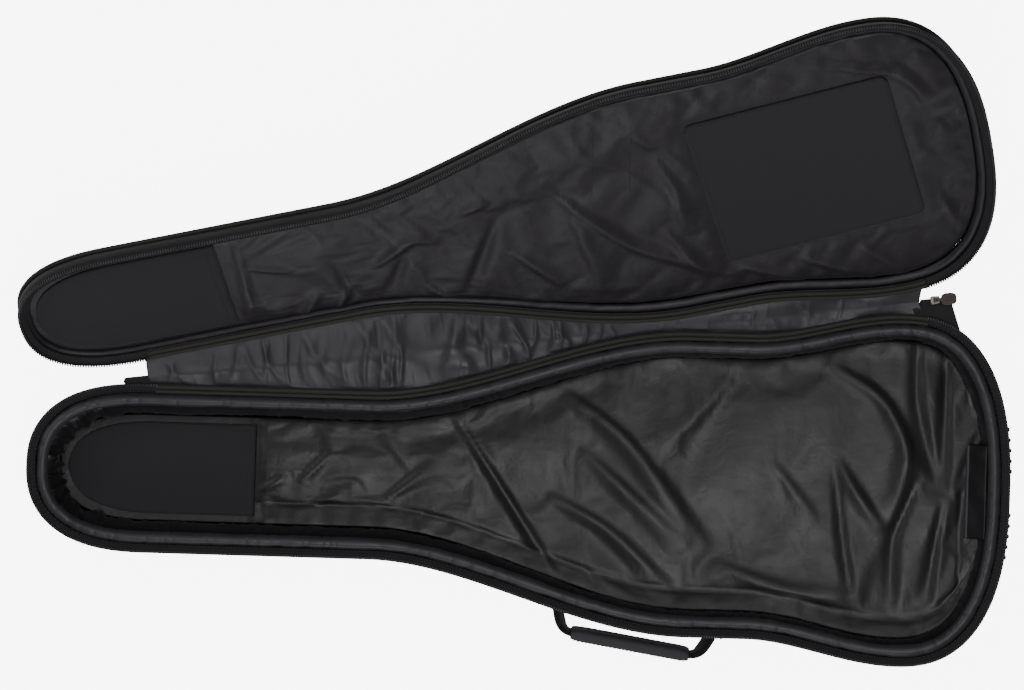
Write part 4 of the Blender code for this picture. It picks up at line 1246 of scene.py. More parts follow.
def build_zip_half(shop: Workshop, line: Stations, lid: bool) -> None:
    """Builds the zip tape, its teeth and the binding that carries on along the hinge side.

    Args:
        shop: Shared tools.
        line: Stations of the zip.
        lid: True for the lid's half, in its closed place.
    """
    plan = shop.plan
    up = -1 if lid else 1
    half = "lid" if lid else "tray"
    body = Body.LID if lid else Body.TRAY
    near = plan.tray_depth - up * 0.0033
    far = near - up * 0.0011
    profile = np.array(
        [
            (0.0003, near),
            (0.0036, near - up * 0.0002),
            (0.0068, near - up * 0.0014),
            (0.0100, near - up * 0.0028),
            (0.0100, far - up * 0.0028),
            (0.0068, far - up * 0.0016),
            (0.0036, far - up * 0.0002),
            (0.0003, far),
        ]
    )
    mesh = swept_mesh(plan.wall(line, profile, lid, plan.tray_depth), False)
    shop.piece(f"{half}_tape_cloth", mesh, "tape", body, "zip_tape", [f"{half}_zip_tape"])
    chain = np.array([(0.0018, plan.tray_depth - up * 0.00165)])
    path = plan.wall(line, chain, lid, plan.tray_depth)[:, 0]
    size = (0.0017, 0.0030, 0.0026)
    shop.teeth(f"{half}_zip_chain", path, body, f"{half}_zip_teeth", size, 0.0027)
    index = plan.hinge_side(shop.dense_line, plan.zip_head_x, plan.zip_butt_x)
    seam = shop.dense_line.part(index)
    cords = []
    for centre, drop in ((0.0027, 0.0030), (0.0076, 0.0047)):
        for angle in np.linspace(0, math.pi, 8):
            inward = centre - 0.0024 * math.cos(angle)
            cords.append((inward, plan.tray_depth - up * (drop - 0.0024 * math.sin(angle))))
    cords += [(0.0100, plan.tray_depth - up * 0.0070), (0.0003, plan.tray_depth - up * 0.0044)]
    binding = np.array(cords)
    mesh = swept_mesh(plan.wall(seam, binding, lid, plan.tray_depth), False)
    shop.piece(f"{half}_seam_tape", mesh, "piping", body, "zip_tape", [f"{half}_hinge_binding"])
    row = np.array([(0.0086, near - up * 0.0022 + up * 0.0004)])
    rim_row = plan.wall(line, row, lid, plan.tray_depth)[:, 0]
    shop.stitches(f"{half}_tape_stitches", [rim_row], body, "zip_tape", 0.0046)


@dataclass
class LidHalf:
    """The upper half, made in its closed place and brought to its open rest."""

    shop: Workshop

    def build(self) -> None:
        """Builds every piece of the lid."""
        self._outside()
        self._padding()
        line = self.shop.dense_line
        build_zip_half(self.shop, line.part(self.shop.plan.zip_side(line)), True)
        self._ceiling()
        self._pocket()

    def _outside(self) -> None:
        """Front panel, side wall and piping."""
        shop, plan = self.shop, self.shop.plan
        top = plan.tray_depth + plan.lid_depth
        grid = PanelGrid(plan, 0.0, 220, 56)
        low = raised(grid.points, top - 0.0018)
        swell = 0.0022 * (1 - np.exp(-grid.edge_distance / 0.02))
        swell = swell + 0.0008 * soft_noise(grid.points, 0.07, 71) * (grid.edge_distance > 0.004)
        pocket = smoothstep(grid.points[..., 0], 0.03, 0.06)
        high = low.copy()
        high[..., 2] += 0.0018 + np.maximum(swell, 0.0) * (1 - pocket)
        mesh = slab_mesh(high, low)
        shop.piece("lid_front_cloth", mesh, "oxford", Body.LID, "woven_nylon", ["front_panel"])
        rows = 8
        profile = band_profile(0.0664, 0.0839, 0.0, 0.0018, rows, (0.0022, -0.0016))
        shape, place = wall_layer(shop.line, profile)
        shape[..., 0] -= 0.0006 * soft_noise(place, (0.05, 0.02), 73)
        mesh = swept_mesh(plan.wall(shop.line, shape, True), True)
        shop.piece("lid_side_cloth", mesh, "oxford", Body.LID, "woven_nylon", ["lid_gusset"])
        cord = piping_profile(-0.0028, 0.0835, 0.0024, 0.0025)
        mesh = swept_mesh(plan.wall(shop.line, cord, True, 0.081), True)
        shop.piece("lid_piping_tube", mesh, "piping", Body.LID, "piping_tube", ["front_piping"])

    def _padding(self) -> None:
        """Thin foam of the lid's wall under its lining."""
        shop, plan = self.shop, self.shop.plan
        rows = 7
        profile = band_profile(0.0710, 0.0775, 0.0023, 0.0067, rows, (0.0, 0.0008))
        shape, place = wall_layer(shop.line, profile)
        inner = (np.arange(2 * rows) >= rows).astype(float)
        shape[..., 0] += 0.0007 * soft_noise(place, (0.012, 0.03), 75) * inner
        mesh = swept_mesh(plan.wall(shop.line, shape, True), True)
        nodes = ["lid_wall_foam", "lid_wall_lining"]
        pad = shop.piece("lid_wall_pad", mesh, "lid_lining", Body.LID, "lining_nylon", nodes)

    def _ceiling(self) -> None:
        """Wrinkled lining inside the lid, with its two mats and two seams."""
        shop = self.shop
        folds = (
            Fold(((-259, -16), (-215, -1)), 5, 3.0),
            Fold(((-266, -60), (-266, 8), (-274, 60)), 5, 3.0),
            Fold(((-172, -8), (-165, 41), (-146, 77)), 6, -3.0),
            Fold(((-98, 1), (-140, 78)), 8, -3.5),
            Fold(((-135, 17), (-87, -13), (-61, -2)), 8, 3.5),
            Fold(((-36, -33), (-1, -44)), 8, 3.0),
            Fold(((2, -23), (-51, 79)), 9, -3.5),
            Fold(((-87, 53), (-60, 95)), 6, 3.0),
            Fold(((56, -44), (126, 56), (233, 127)), 10, 4.5),
            Fold(((168, -62), (185, -6), (183, 55)), 8, 3.0),
            Fold(((160, 37), (200, 118)), 8, 3.5),
            Fold(((228, 108), (293, 147)), 9, 3.5),
            Fold(((287, 112), (327, 136), (367, 162)), 9, 4.5),
            Fold(((352, 110), (382, 146), (399, 170)), 9, 4.0),
            Fold(((446, 67), (454, 100), (457, 130)), 7, 3.0),
            Fold(((316, -140), (376, -128), (426, -104), (450, -61)), 8, 3.5),
            Fold(((414, -130), (441, -86), (450, -39)), 7, 3.0),
            Fold(((149, -101), (173, -67)), 6, 2.5),
            Fold(((73, -24), (89, 109)), 10, 2.5),
            Fold(((-222, 74), (-194, 33)), 6, 3.0),
            Fold(((-192, 77), (-157, 29)), 6, 3.0),
            Fold(((6, 29), (51, 91)), 9, 3.0),
        )
        head = MatArea((-0.4425, 0.0), (0.1575, 0.2))
        bridge = MatArea((0.316, -0.002), (0.104, 0.097), -4.4)
        lining = Lining(
            shop, True, -0.0055, 0.0839, 0.0764, 0.0022, folds, (head, bridge), 17, 0.8
        )
        lining.pad("lid_ceiling_pad", ["front_foam", "front_lining"])
        lining.mat("lid_headstock_mat", "lid_headstock_patch", head_cut(lining.grid, -0.285, 0.006))
        square = bridge.place(rounded_grid(bridge.half, 0.008, 44, 40))
        lining.mat("bridge_mat", "lid_bridge_patch", square)
        rows = [lining.level(cross_line(x, 0.058), 0.0020) for x in (-0.2885, -0.2945)]
        y = np.linspace(-0.108, -0.022, 50)
        for x in (0.108, 0.147):
            seam = np.stack([x - 0.19 * (y + 0.065), y], axis=-1)
            rows.append(lining.level(seam, 0.0004))
        rows.append(lining.level(bridge.place(rectangle_line(bridge.half, 0.003)), 0.0020))
        shop.stitches("lid_mat_stitches", rows, Body.LID, "matte_patch")

    def _pocket(self) -> None:
        """Accessory pocket on the outside, with its zip."""
        shop, plan = self.shop, self.shop.plan
        top = plan.tray_depth + plan.lid_depth
        inset, head_x = 0.022, 0.050
        grid = PanelGrid(plan, -inset, 220, 56)
        keep = np.flatnonzero(grid.x >= head_x)
        points = grid.points[keep]
        points = np.concatenate([points, points[-1:] * (0, 1) + (head_x, 0)])
        low = raised(points, top + 0.0003)
        distance = grid.edge_distance[keep]
        distance = np.concatenate([distance, distance[-1:] * 0])
        distance = np.minimum(distance, np.maximum(points[..., 0] - head_x, 0.0))
        rise = 0.0067 * (1 - np.exp(-distance / 0.0035))
        zip_zone = 1 - smoothstep(np.abs(points[..., 0] - POCKET_ZIP_X), 0.014, 0.024)
        swell = 0.0018 * (1 - np.exp(-distance / 0.03)) + 0.0008 * soft_noise(points, 0.06, 81)
        high = low.copy()
        high[..., 2] += rise + np.maximum(swell, 0) * (1 - zip_zone) * smoothstep(distance, 0, 0.01)
        mesh = slab_mesh(high, low)
        pocket = shop.piece("pocket_pad", mesh, "oxford", Body.LID, "woven_nylon", ["front_pocket"])
        outline = np.concatenate([points[::-1, 0], points[:, -1]])
        path = raised(push_out(outline, 0.0023), top + 0.0023)
        mesh = swept_mesh(tube_sections(path, 0.0019, 10), False)
        shop.piece("pocket_piping_tube", mesh, "piping", Body.LID, "piping_tube", ["pocket_piping"])
        face = top + 0.0073
        half = float(plan.half_width(np.array(POCKET_ZIP_X))) - 0.048
        y = np.linspace(-half, half, 90)
        profile = [(-0.012, 0.0), (-0.0115, 0.0010), (0.0115, 0.0010), (0.012, 0.0)]
        sections = np.array([[(POCKET_ZIP_X + x, v, face + z) for x, z in profile] for v in y])
        mesh = swept_mesh(sections, False)
        shop.piece("pocket_tape_cloth", mesh, "tape", Body.LID, "zip_tape", ["pocket_zip_tape"])
        chain = np.stack([np.full_like(y, POCKET_ZIP_X), y * 0.985], axis=1)
        path = raised(chain, face + 0.0020)
        size = (0.0014, 0.0044, 0.0013)
        shop.teeth("pocket_zip_chain", path, Body.LID, "pocket_zip_teeth", size, 0.0022)
        rows = [
            raised(np.stack([np.full_like(y, POCKET_ZIP_X + x), y], axis=1), face + 0.0012)
            for x in (-0.0100, 0.0100)
        ]
        shop.stitches("pocket_tape_stitches", rows, Body.LID, "zip_tape")


def push_out(points: Array, distance: float) -> Array:
    """Moves the points of an anticlockwise open line outwards."""
    tangent = unit(np.gradient(points, axis=0))
    away = np.stack([tangent[:, 1], -tangent[:, 0]], axis=1)
    centre = points.mean(axis=0)
    if ((points - centre) * away).sum() < 0:
        away = -away
    return points + away * distance


def rounded_grid(half: Sequence[float], corner: float, columns: int, rows: int) -> Array:
    """Grid of points over a rectangle round the origin, with rounded corners."""
    x = np.linspace(-half[0], half[0], columns)
    near = half[0] - np.abs(x)
    cut = corner - np.sqrt(np.maximum(corner**2 - np.maximum(corner - near, 0) ** 2, 0))
    return spread(x, half[1] - cut, rows)


def rectangle_line(half: Sequence[float], inset: float) -> Array:
    """Points round a rectangle about the origin, a little inside its edge."""
    x, y = half[0] - inset, half[1] - inset
    corners = [(-x, -y), (x, -y), (x, y), (-x, y), (-x, -y)]
    sides = [np.linspace(a, b, 60) for a, b in zip(corners, corners[1:])]
    return np.concatenate(sides)


# ---------------------------------------------------------------- hinge side and small parts


@dataclass
class HingeCloth:
    """Loose cloth between the two rims, gathered along the hinge."""

    shop: Workshop
    head_x: float = -0.390
    butt_x: float = 0.409

    def build(self) -> None:
        """Builds the gathered sheet from the tray's rim to the lid's, bent along the hinge line as
        it lies.
        """
        shop, plan = self.shop, self.shop.plan
        line = shop.dense_line.part(plan.hinge_side(shop.dense_line, self.head_x, self.butt_x))
        along = np.array(shop.hinge_axis)[:2]
        origin = np.array(shop.hinge_point)[:2]
        fold = origin + ((line.points - origin) @ along)[:, None] * along
        depth = plan.tray_depth
        seam = np.array([(0.0020, depth - 0.0052), (-0.0004, depth - 0.0049)])
        near = plan.wall(line, seam, False, depth)
        turn = np.array(shop.lid_place)
        lid_seam = plan.wall(line, seam * (1, -1) + (0, 2 * depth), True, depth)
        far = lid_seam @ turn[:3, :3].T + turn[:3, 3]
        crease = raised(fold, depth - 0.0022)
        columns = 25
        t = np.linspace(0, 1, columns)[:, None]
        near_side = near[:, 1, None] * (1 - t) + crease[:, None] * t
        far_side = crease[:, None] * (1 - t) + far[:, 1, None] * t
        sheet = np.concatenate([near[:, :1], near_side, far_side[:, 1:], far[:, :1]], axis=1)
        wide = np.linalg.norm(far[:, 1] - near[:, 1], axis=1)
        v = np.concatenate([[-1.0], np.linspace(-1, 1, sheet.shape[1] - 2), [1.0]])
        across = v[None, :] * wide[:, None] / 2
        place = np.stack(np.broadcast_arrays(line.along[:, None], across), axis=-1)
        gather = (
            creases(place, 0.024, 5.0, 64.0, 91)
            + 0.7 * creases(place, 0.015, 6.0, 102.0, 95)
            + 0.35 * creases(place, 0.008, 6.0, 84.0, 99) * np.abs(v[None, :]) ** 2
        )
        bunched = np.exp(-(((line.points[:, 0] + 0.07) / 0.15) ** 2))
        gather = gather * (0.35 + 0.75 * bunched)[:, None]
        slow = soft_noise(place, (0.06, 0.03), 97)
        free = np.clip(wide / 0.030, 0.12, 1.0)[:, None] * (1 - np.abs(v[None, :]) ** 5)
        # The sheet lies flat near the butt end, under the zip's slider.
        loose = smoothstep(self.butt_x - line.points[:, 0], 0.010, 0.070)[:, None]
        lift = (0.0050 * (gather - 0.40) + 0.0030 * slow + 0.0026) * free * loose
        tilt = smoothstep(v, -0.6, 0.6)[None, :]
        sheet[..., 2] += lift * (1 - 0.28 * tilt)
        sheet[..., 1] -= lift * 0.69 * tilt
        sharp = sheet.copy()
        for _ in range(36):
            sheet[:, 3:-3] = (sheet[:, 2:-4] + 2 * sheet[:, 3:-3] + sheet[:, 4:-2]) / 4
        sheet = sharp + (sheet - sharp) * loose[..., None]
        low = sheet - np.array([0, 0, 0.0010])
        sections = np.concatenate([sheet, low[:, ::-1]], axis=1)
        mesh = swept_mesh(sections, False)
        # The sheet's finish is painted lighter as a painted sheen.
        piece = shop.piece("hinge_cloth", mesh, "web", None, "lining_nylon", ["hinge_web"])
        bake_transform(piece)


@dataclass
class ButtGuard:
    """Moulded rubber guard with two groups of ribs round the butt end."""

    shop: Workshop
    half_length: float = 0.072
    low_z: float = 0.008
    high_z: float = 0.052
    thickness: float = 0.003
    rib_height: float = 0.003
    rib_width: float = 0.005
    rib_pitch: float = 0.0105
    ribs: int = 5

    def build(self) -> None:
        """Builds the guard."""
        shop, plan = self.shop, self.shop.plan
        dense = plan.stations(RIB_COUNT)
        total = dense.along[-1] + dense.along[1]
        signed = np.where(dense.along > total / 2, dense.along - total, dense.along)
        index = np.flatnonzero(np.abs(signed) < self.half_length)
        index = index[np.argsort(signed[index])]
        line = dense.part(index)
        distance = np.abs(signed[index])
        first = self.half_length - self.rib_width * 2 - self.rib_pitch * (self.ribs - 1)
        rise = np.zeros(len(index))
        for rib in range(self.ribs):
            middle = first + rib * self.rib_pitch + self.rib_width / 2
            beside = np.clip(np.abs(distance - middle) / self.rib_width * 2, 0, 1)
            rise = np.maximum(rise, 1 - beside**4)
        ends = smoothstep(self.half_length - distance, 0.0, 0.004)
        z = np.linspace(self.low_z, self.high_z, 10)
        edge = 1 - np.abs(np.linspace(-1, 1, 10)) ** 8
        thick = (self.thickness + self.rib_height * rise * 0.95)[:, None]
        lift = 0.0005 + thick * (0.55 + 0.45 * edge[None, :]) * (0.4 + 0.6 * ends)[:, None]
        back = np.full_like(lift, -0.0005)
        outer = np.stack([-lift, np.broadcast_to(z, lift.shape)], axis=-1)
        inner = np.stack([back, np.broadcast_to(z[::-1], lift.shape)], axis=-1)
        shape = np.concatenate([outer, inner], axis=1)
        mesh = swept_mesh(plan.wall(line, shape, False), False)
        shop.piece("butt_guard", mesh, "rubber", Body.TRAY, "bumper_rubber", ["butt_bumper"])


@dataclass
class SideHandle:
    """Padded grip on webbing, with its two sewn patches."""

    shop: Workshop
    reach: float = 0.026
    strap_bend: float = 0.014
    strap_width: float = 0.025
    strap_thickness: float = 0.0024
    grip_half_length: float = 0.0625
    grip_height: float = 0.032
    grip_thickness: float = 0.012

    def build(self) -> None:
        """Builds the patches, the strap and the grip."""
        self.frame, self.half_span = self._frame()
        self._patches()
        self._strap()
        self._grip()

    def _frame(self) -> tuple[Array, float]:
        """Axes of the handle as rows, and half the distance between its patches."""
        hinge = joint("handle_hinge")
        x_axis = -np.array(hinge["axis"], float)
        plan = self.shop.plan
        full = float(plan.lean(np.array(0.122), plan.tray_depth, False))
        away = np.array([x_axis[1], -x_axis[0], 0.0])
        z_axis = np.array([0, 0, 1.0]) + away * full / plan.tray_depth
        z_axis /= np.linalg.norm(z_axis)
        y_axis = np.cross(x_axis, z_axis)
        self.origin = np.array(hinge["pos_m"], float)
        low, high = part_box("handle_webbing")
        span = (high[0] - low[0]) / 2 - 0.001
        return np.array([x_axis, y_axis, z_axis]), float(span / x_axis[0])

    def _place(self, local: Array) -> Array:
        """World points of local ones."""
        return self.origin + local @ self.frame

    def _patches(self) -> None:
        """Two patches on the side wall, each with a box of stitches."""
        shop, plan = self.shop, self.shop.plan
        line = shop.line
        rows = []
        for name, node in (
            ("handle_patch_head", "handle_anchor_head"),
            ("handle_patch_butt", "handle_anchor_butt"),
        ):
            low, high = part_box(node)
            x, y = line.points[:, 0], line.points[:, 1]
            index = np.flatnonzero((y < 0) & (x > low[0] - 0.002) & (x < high[0] + 0.002))
            part = line.part(index)
            profile = band_profile(low[2], high[2], -0.0030, 0.0022, 10, (0.0035, -0.003))
            mesh = swept_mesh(plan.wall(part, profile, False), False)
            shop.piece(name, mesh, "tape", Body.TRAY, "zip_tape", [node])
            span = part.along[-1] - part.along[0]
            t = (part.along - part.along[0]) / span
            edges = (low[2] + 0.004, high[2] - 0.004)
            for z in edges:
                rows.append(self._on_wall(part, t, np.full_like(t, z), 0.0052))
            for first, last in (edges, edges[::-1]):
                rows.append(self._on_wall(part, t, first + (last - first) * t, 0.0064))
        shop.stitches("handle_patch_stitches", rows, Body.TRAY, "zip_tape", up=(0, -1, 0))

    def _on_wall(self, part: Stations, t: Array, z: Array, out: float) -> Array:
        """A path over the middle of a patch."""
        inner = (t > 0.14) & (t < 0.86)
        profile = np.stack([np.full_like(z[inner], -out), z[inner]], axis=-1)[:, None]
        return self.shop.plan.wall(part.part(inner), profile, False)[:, 0]

    def _strap(self) -> None:
        """Webbing from patch to patch, through the grip."""
        half = self.half_span
        bend = half - self.strap_bend
        knots = np.array(
            [
                (-half, 0.0008),
                (-half + self.strap_bend * 0.30, self.reach * 0.50),
                (-half + self.strap_bend * 0.68, self.reach * 0.87),
                (-bend, self.reach),
            ]
        )
        knots = np.concatenate([knots, (knots * (-1, 1))[::-1]])
        steps = run_lengths(knots)
        path = smoothed(resampled(knots, steps, np.linspace(0, steps[-1], 120)), 12)
        tangent = unit(np.gradient(path, axis=0))
        side = np.stack([-tangent[:, 1], tangent[:, 0]], axis=1)
        wide, thick = self.strap_width / 2, self.strap_thickness / 2
        profile = [(-wide, 0), (-wide + 0.0006, 1), (wide - 0.0006, 1), (wide, 0)]
        profile += [(wide - 0.0006, -1), (-wide + 0.0006, -1)]
        # The strap's ends twist, so that its face shows from above.
        twist = 0.0040 * smoothstep(np.abs(path[:, 0]), bend - 0.004, half - 0.004)
        twist = np.stack([np.sign(path[:, 0]) * twist, np.zeros(len(path))], axis=1)
        rows = []
        for z, s in profile:
            flat = path + side * thick * s + twist * (z / wide)
            rows.append(raised(flat, z))
        sections = np.stack(rows, axis=1)
        mesh = swept_mesh(self._place(sections), False)
        piece = self.shop.piece("handle_strap", mesh, "tape", None, "zip_tape", ["handle_webbing"])
        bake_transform(piece)

    def _grip(self) -> None:
        """Padded sleeve with rounded ends and a seam along its edge."""
        count, sides = 60, 28
        u = np.linspace(-1, 1, count)
        end = 0.62 + 0.38 * (1 - np.abs(u) ** 10) ** 0.5
        angle = turns(sides)
        power = 2 / 3.2
        z = np.sign(np.sin(angle)) * np.abs(np.sin(angle)) ** power * self.grip_height / 2
        y = np.sign(np.cos(angle)) * np.abs(np.cos(angle)) ** power * self.grip_thickness / 2
        x = u * self.grip_half_length
        local = np.empty((count, sides, 3))
        local[..., 0] = x[:, None]
        place = pairs(x, z)
        dent = 1 + 0.05 * soft_noise(place, (0.03, 0.02), 101)
        # The sleeve's upper edge is folded over towards the rim.
        inner = np.clip(-y / (self.grip_thickness / 2), 0, 1) * smoothstep(z, 0.001, 0.012)
        folded = y - 0.0032 * inner
        local[..., 1] = self.reach + folded[None, :] * end[:, None] * dent
        local[..., 2] = z[None, :] * (0.85 + 0.15 * end)[:, None]
        mesh = swept_mesh(self._place(local), False)
        pad = self.shop.piece("handle_pad", mesh, "grip", Body.HANDLE, "grip_pad", ["handle_grip"])
        rows = []
        for side in (-1, 1):
            xs = np.linspace(-self.grip_half_length * 0.93, self.grip_half_length * 0.93, 80)
            out = np.full_like(xs, self.reach + self.grip_thickness * 0.40)
            line = raised(np.stack([xs, out], axis=1), side * self.grip_height * 0.40)
            rows.append(self._place(line))
        self.shop.stitches("handle_pad_stitches", rows, Body.HANDLE, "grip_pad", up=(0, -1, 0))


@dataclass
class PinFlap:
    """Flap over the strap button, hung on the wall inside the butt end."""

    shop: Workshop
    width: float = 0.098
    edge: tuple[float, float] = (0.462, 0.020)

    def build(self) -> None:
        """Builds the flap and its bound edge."""
        hinge = np.array(joint("flap_hinge")["pos_m"], float)
        top = hinge[[0, 2]]
        along = np.array(self.edge) - top
        length = float(np.hypot(*along))
        along /= length
        normal = np.array([along[1], -along[0]])
        if normal[1] < 0:
            normal = -normal
        t = np.linspace(0.0, 1.0, 18)
        y = np.linspace(-self.width / 2, self.width / 2, 50)
        grid_t, grid_y = np.meshgrid(t, y, indexing="ij")
        place = np.stack([grid_t * length, grid_y], axis=-1)
        wave = 0.0016 * soft_noise(place, (0.05, 0.013), 111) * np.sin(math.pi * grid_t)
        sheets = []
        for offset in (0.0007, -0.0007):
            away = wave + offset
            flat = top + grid_t[..., None] * (length - 0.0012) * along + away[..., None] * normal
            sheets.append(np.stack([flat[..., 0], grid_y, flat[..., 1]], axis=-1))
        mesh = slab_mesh(sheets[0], sheets[1])
        flap = self.shop.piece(
            "pin_flap", mesh, "lining", Body.FLAP, "lining_nylon", ["endpin_flap"]
        )
        angle = turns(12)
        reach = length - 0.0026 + np.cos(angle) * 0.0027
        loop = top + along * reach[:, None] + normal * np.sin(angle)[:, None] * 0.0019
        values = np.linspace(-self.width / 2, self.width / 2, 60)
        sections = [[(x, value, z) for x, z in loop] for value in values]
        mesh = swept_mesh(np.array(sections), False)
        # The binding's finish is painted lighter as a painted sheen.
        binding = self.shop.piece(
            "pin_flap_binding", mesh, "web", Body.FLAP, "zip_tape", ["endpin_flap_binding"]
        )


@dataclass
class ZipHardware:
    """Sliders and pull tabs of the two zips, and the tabs past the main zip's ends."""

    shop: Workshop

    def build(self) -> None:
        """Builds the tabs, then a slider and a pull tab for each zip."""
        self._tabs()
        z_axis = Vector((0, 0, 1))
        slide = joint("slider_slide")
        main = self._frame(Vector(slide["pos_m"]), Vector(slide["axis"]), z_axis)
        heights = (-0.0025, 0.0025)
        self._slider("main_slider_body", main, *heights, Body.MAIN_SLIDER, "zip_slider", False)
        pin = joint("puller_hinge")
        main_pin = self._frame(Vector(pin["pos_m"]), Vector(slide["axis"]), z_axis)
        self._puller("main_pull_tab", main_pin, Body.MAIN_PULLER, "zip_puller")
        turn = self.shop.lid_place.to_3x3()
        small = joint("pocket_slide")
        frame_small = self._frame(Vector(small["pos_m"]), Vector(small["axis"]), turn @ z_axis)
        heights = (-0.0014, 0.0018)
        self._slider(
            "pocket_slider_body", frame_small, *heights, Body.SMALL_SLIDER, "pocket_slider", True
        )
        pin = joint("pocket_puller_hinge")
        small_pin = self._frame(Vector(pin["pos_m"]), Vector(small["axis"]), turn @ z_axis)
        self._puller("pocket_pull_tab", small_pin, Body.SMALL_PULLER, "pocket_puller")

    def _frame(self, point: Vector, x_axis: Vector, z_axis: Vector) -> Matrix:
        """Local frame with its X along the travel and its Z up."""
        x = x_axis.normalized()
        y = z_axis.cross(x).normalized()
        matrix = Matrix((x, y, x.cross(y))).transposed().to_4x4()
        matrix.translation = point
        return matrix

    def _tabs(self) -> None:
        """Puckered cloth tabs from the rim to the hinge line, past each end of the zip."""
        shop, plan = self.shop, self.shop.plan
        axis = np.array(shop.hinge_axis)[:2]
        across = np.array([-axis[1], axis[0]])
        origin = np.array(shop.hinge_point)[:2]
        level = plan.tray_depth - 0.0040
        for name, node, x, lap in (
            ("zip_tab_head", "zip_tail_head", -0.402, 0.0),
            ("zip_tab_butt", "zip_tail_butt", 0.421, 0.009),
        ):
            middle = origin + axis * (x - origin[0]) / axis[0]
            points = shop.dense_line.points
            along = (points - middle) @ axis
            held = (along > -0.016 - lap) & (along < 0.016)
            index = np.flatnonzero((points[:, 1] > 0) & held)[::-1]
            wall = plan.wall(
                shop.dense_line.part(index), np.array([(0.0016, level)]), False, plan.tray_depth
            )[:, 0]
            t = np.linspace(-1, 1, len(wall))
            corner = 0.0022 * np.abs(t) ** 10
            reach = np.linspace(-0.016 - lap, 0.016, len(wall))
            # The part that laps under the hinge cloth stays behind the hinge line.
            back = corner + 0.0050 * smoothstep(-0.0150 - reach, 0.0, 0.0020)
            edge = middle + axis * reach[:, None] + across * (0.0020 - back)[:, None]
            outer = raised(edge, level)
            s = np.linspace(0, 1, 14)[None, :, None]
            sheet = wall[:, None] * (1 - s) + outer[:, None] * s
            wave = 0.0007 * soft_noise(sheet[..., :2], (0.006, 0.012), 121) * s[..., 0]
            high, low = sheet.copy(), sheet.copy()
            high[..., 2] += 0.0006 + wave - 0.0012 * (1 - s[..., 0]) ** 4
            low[..., 2] += wave - 0.0006 - 0.0012 * (1 - s[..., 0]) ** 4
            mesh = slab_mesh(high, low)
            shop.piece(name, mesh, "tape", Body.TRAY, "zip_tape", [node])

    def _join(self, shape: bmesh.types.BMesh, lower: list, upper: list) -> None:
        """Adds the faces between two rings with the same number of points."""
        for i in range(len(lower)):
            k = (i + 1) % len(lower)
            shape.faces.new((lower[i], lower[k], upper[k], upper[i]))

    def _stack(
        self,
        shape: bmesh.types.BMesh,
        matrix: Matrix,
        middle: float,
        outline: list[tuple[float, float]],
        levels: Sequence[tuple[float, float]],
    ) -> None:
        """Adds a solid through copies of an outline.

        Args:
            shape: Shape that gets the solid.
            matrix: Frame of the outline.
            middle: Place along X that the copies are scaled about.
            outline: Points of the outline.
            levels: Height and scale of each copy.
        """
        rings = []
        for z, scale in levels:
            places = [(middle + (x - middle) * scale, y * scale, z) for x, y in outline]
            rings.append([shape.verts.new(matrix @ Vector(place)) for place in places])
        for lower, upper in zip(rings, rings[1:]):
            self._join(shape, lower, upper)
        shape.faces.new(rings[0][::-1])
        shape.faces.new(rings[-1])

    def _plate(self, shape: bmesh.types.BMesh, matrix: Matrix, low: float, high: float) -> None:
        """Adds a plate of the slider, wide at its mouth and narrow behind."""
        outline = []
        for step in range(PLATE_STEPS):
            angle = 2 * math.pi * step / PLATE_STEPS
            x = 0.0050 * squared(math.cos(angle), 0.5)
            wide = 0.0048 - 0.0010 * (0.5 + 0.5 * x / 0.005)
            outline.append((x, wide * squared(math.sin(angle), 0.5)))
        levels = ((low, 0.88), (low + 0.0003, 1.0), (high - 0.0003, 1.0), (high, 0.88))
        self._stack(shape, matrix, 0.0, outline, levels)

    def _block(
        self,
        shape: bmesh.types.BMesh,
        matrix: Matrix,
        low: Sequence[float],
        high: Sequence[float],
        bevel: float,
    ) -> None:
        """Adds a bevelled block between two local corners."""
        size = [high[i] - low[i] for i in range(3)]
        middle = [(high[i] + low[i]) / 2 for i in range(3)]
        place = matrix @ Matrix.Translation(middle) @ Matrix.Diagonal((*size, 1.0))
        made = bmesh.ops.create_cube(shape, size=1.0, matrix=place)["verts"]
        edges = list(dict.fromkeys(edge for vertex in made for edge in vertex.link_edges))
        bmesh.ops.bevel(shape, geom=edges, offset=bevel, segments=2, affect="EDGES")

    def _slider(
        self, name: str, matrix: Matrix, low: float, high: float, body: Body, node: str, small: bool
    ) -> None:
        """Builds one slider: its plates, its joining wall, its lugs and its pin.

        Args:
            name: Name of the piece.
            matrix: Frame of the slider.
            low: Lowest height in the frame.
            high: Height of the upper plate's top.
            body: Body that it rides on.
            node: CAD node that it stands for.
            small: True for the pocket's slider, whose two sides reach down past the teeth.
        """
        shape = bmesh.new()
        self._plate(shape, matrix, high - 0.0014, high)
        if small:
            for side in (-1, 1):
                ys = sorted((side * 0.0028, side * 0.0046))
                ends = (-0.0042, ys[0], low), (0.0042, ys[1], high - 0.0010)
                self._block(shape, matrix, *ends, 0.0004)
        else:
            self._plate(shape, matrix, low, low + 0.0014)
            ends = (-0.0045, 0.0026, low + 0.0010), (0.0045, 0.0042, high - 0.0010)
            self._block(shape, matrix, *ends, 0.0004)
        for side in (-1, 1):
            ys = sorted((side * 0.0022, side * 0.0034))
            ends = (-0.0016, ys[0], high - 0.0005), (0.0016, ys[1], high + 0.0035)
            self._block(shape, matrix, *ends, 0.0005)
        turn = Matrix.Rotation(math.pi / 2, 4, "X")
        bmesh.ops.create_cone(
            shape,
            cap_ends=True,
            segments=16,
            radius1=0.0006,
            radius2=0.0006,
            depth=0.0058,
            matrix=matrix @ Matrix.Translation((0, 0, high + 0.0024)) @ turn,
        )
        self._close(name, shape, "alloy", body, "slider_metal", node)

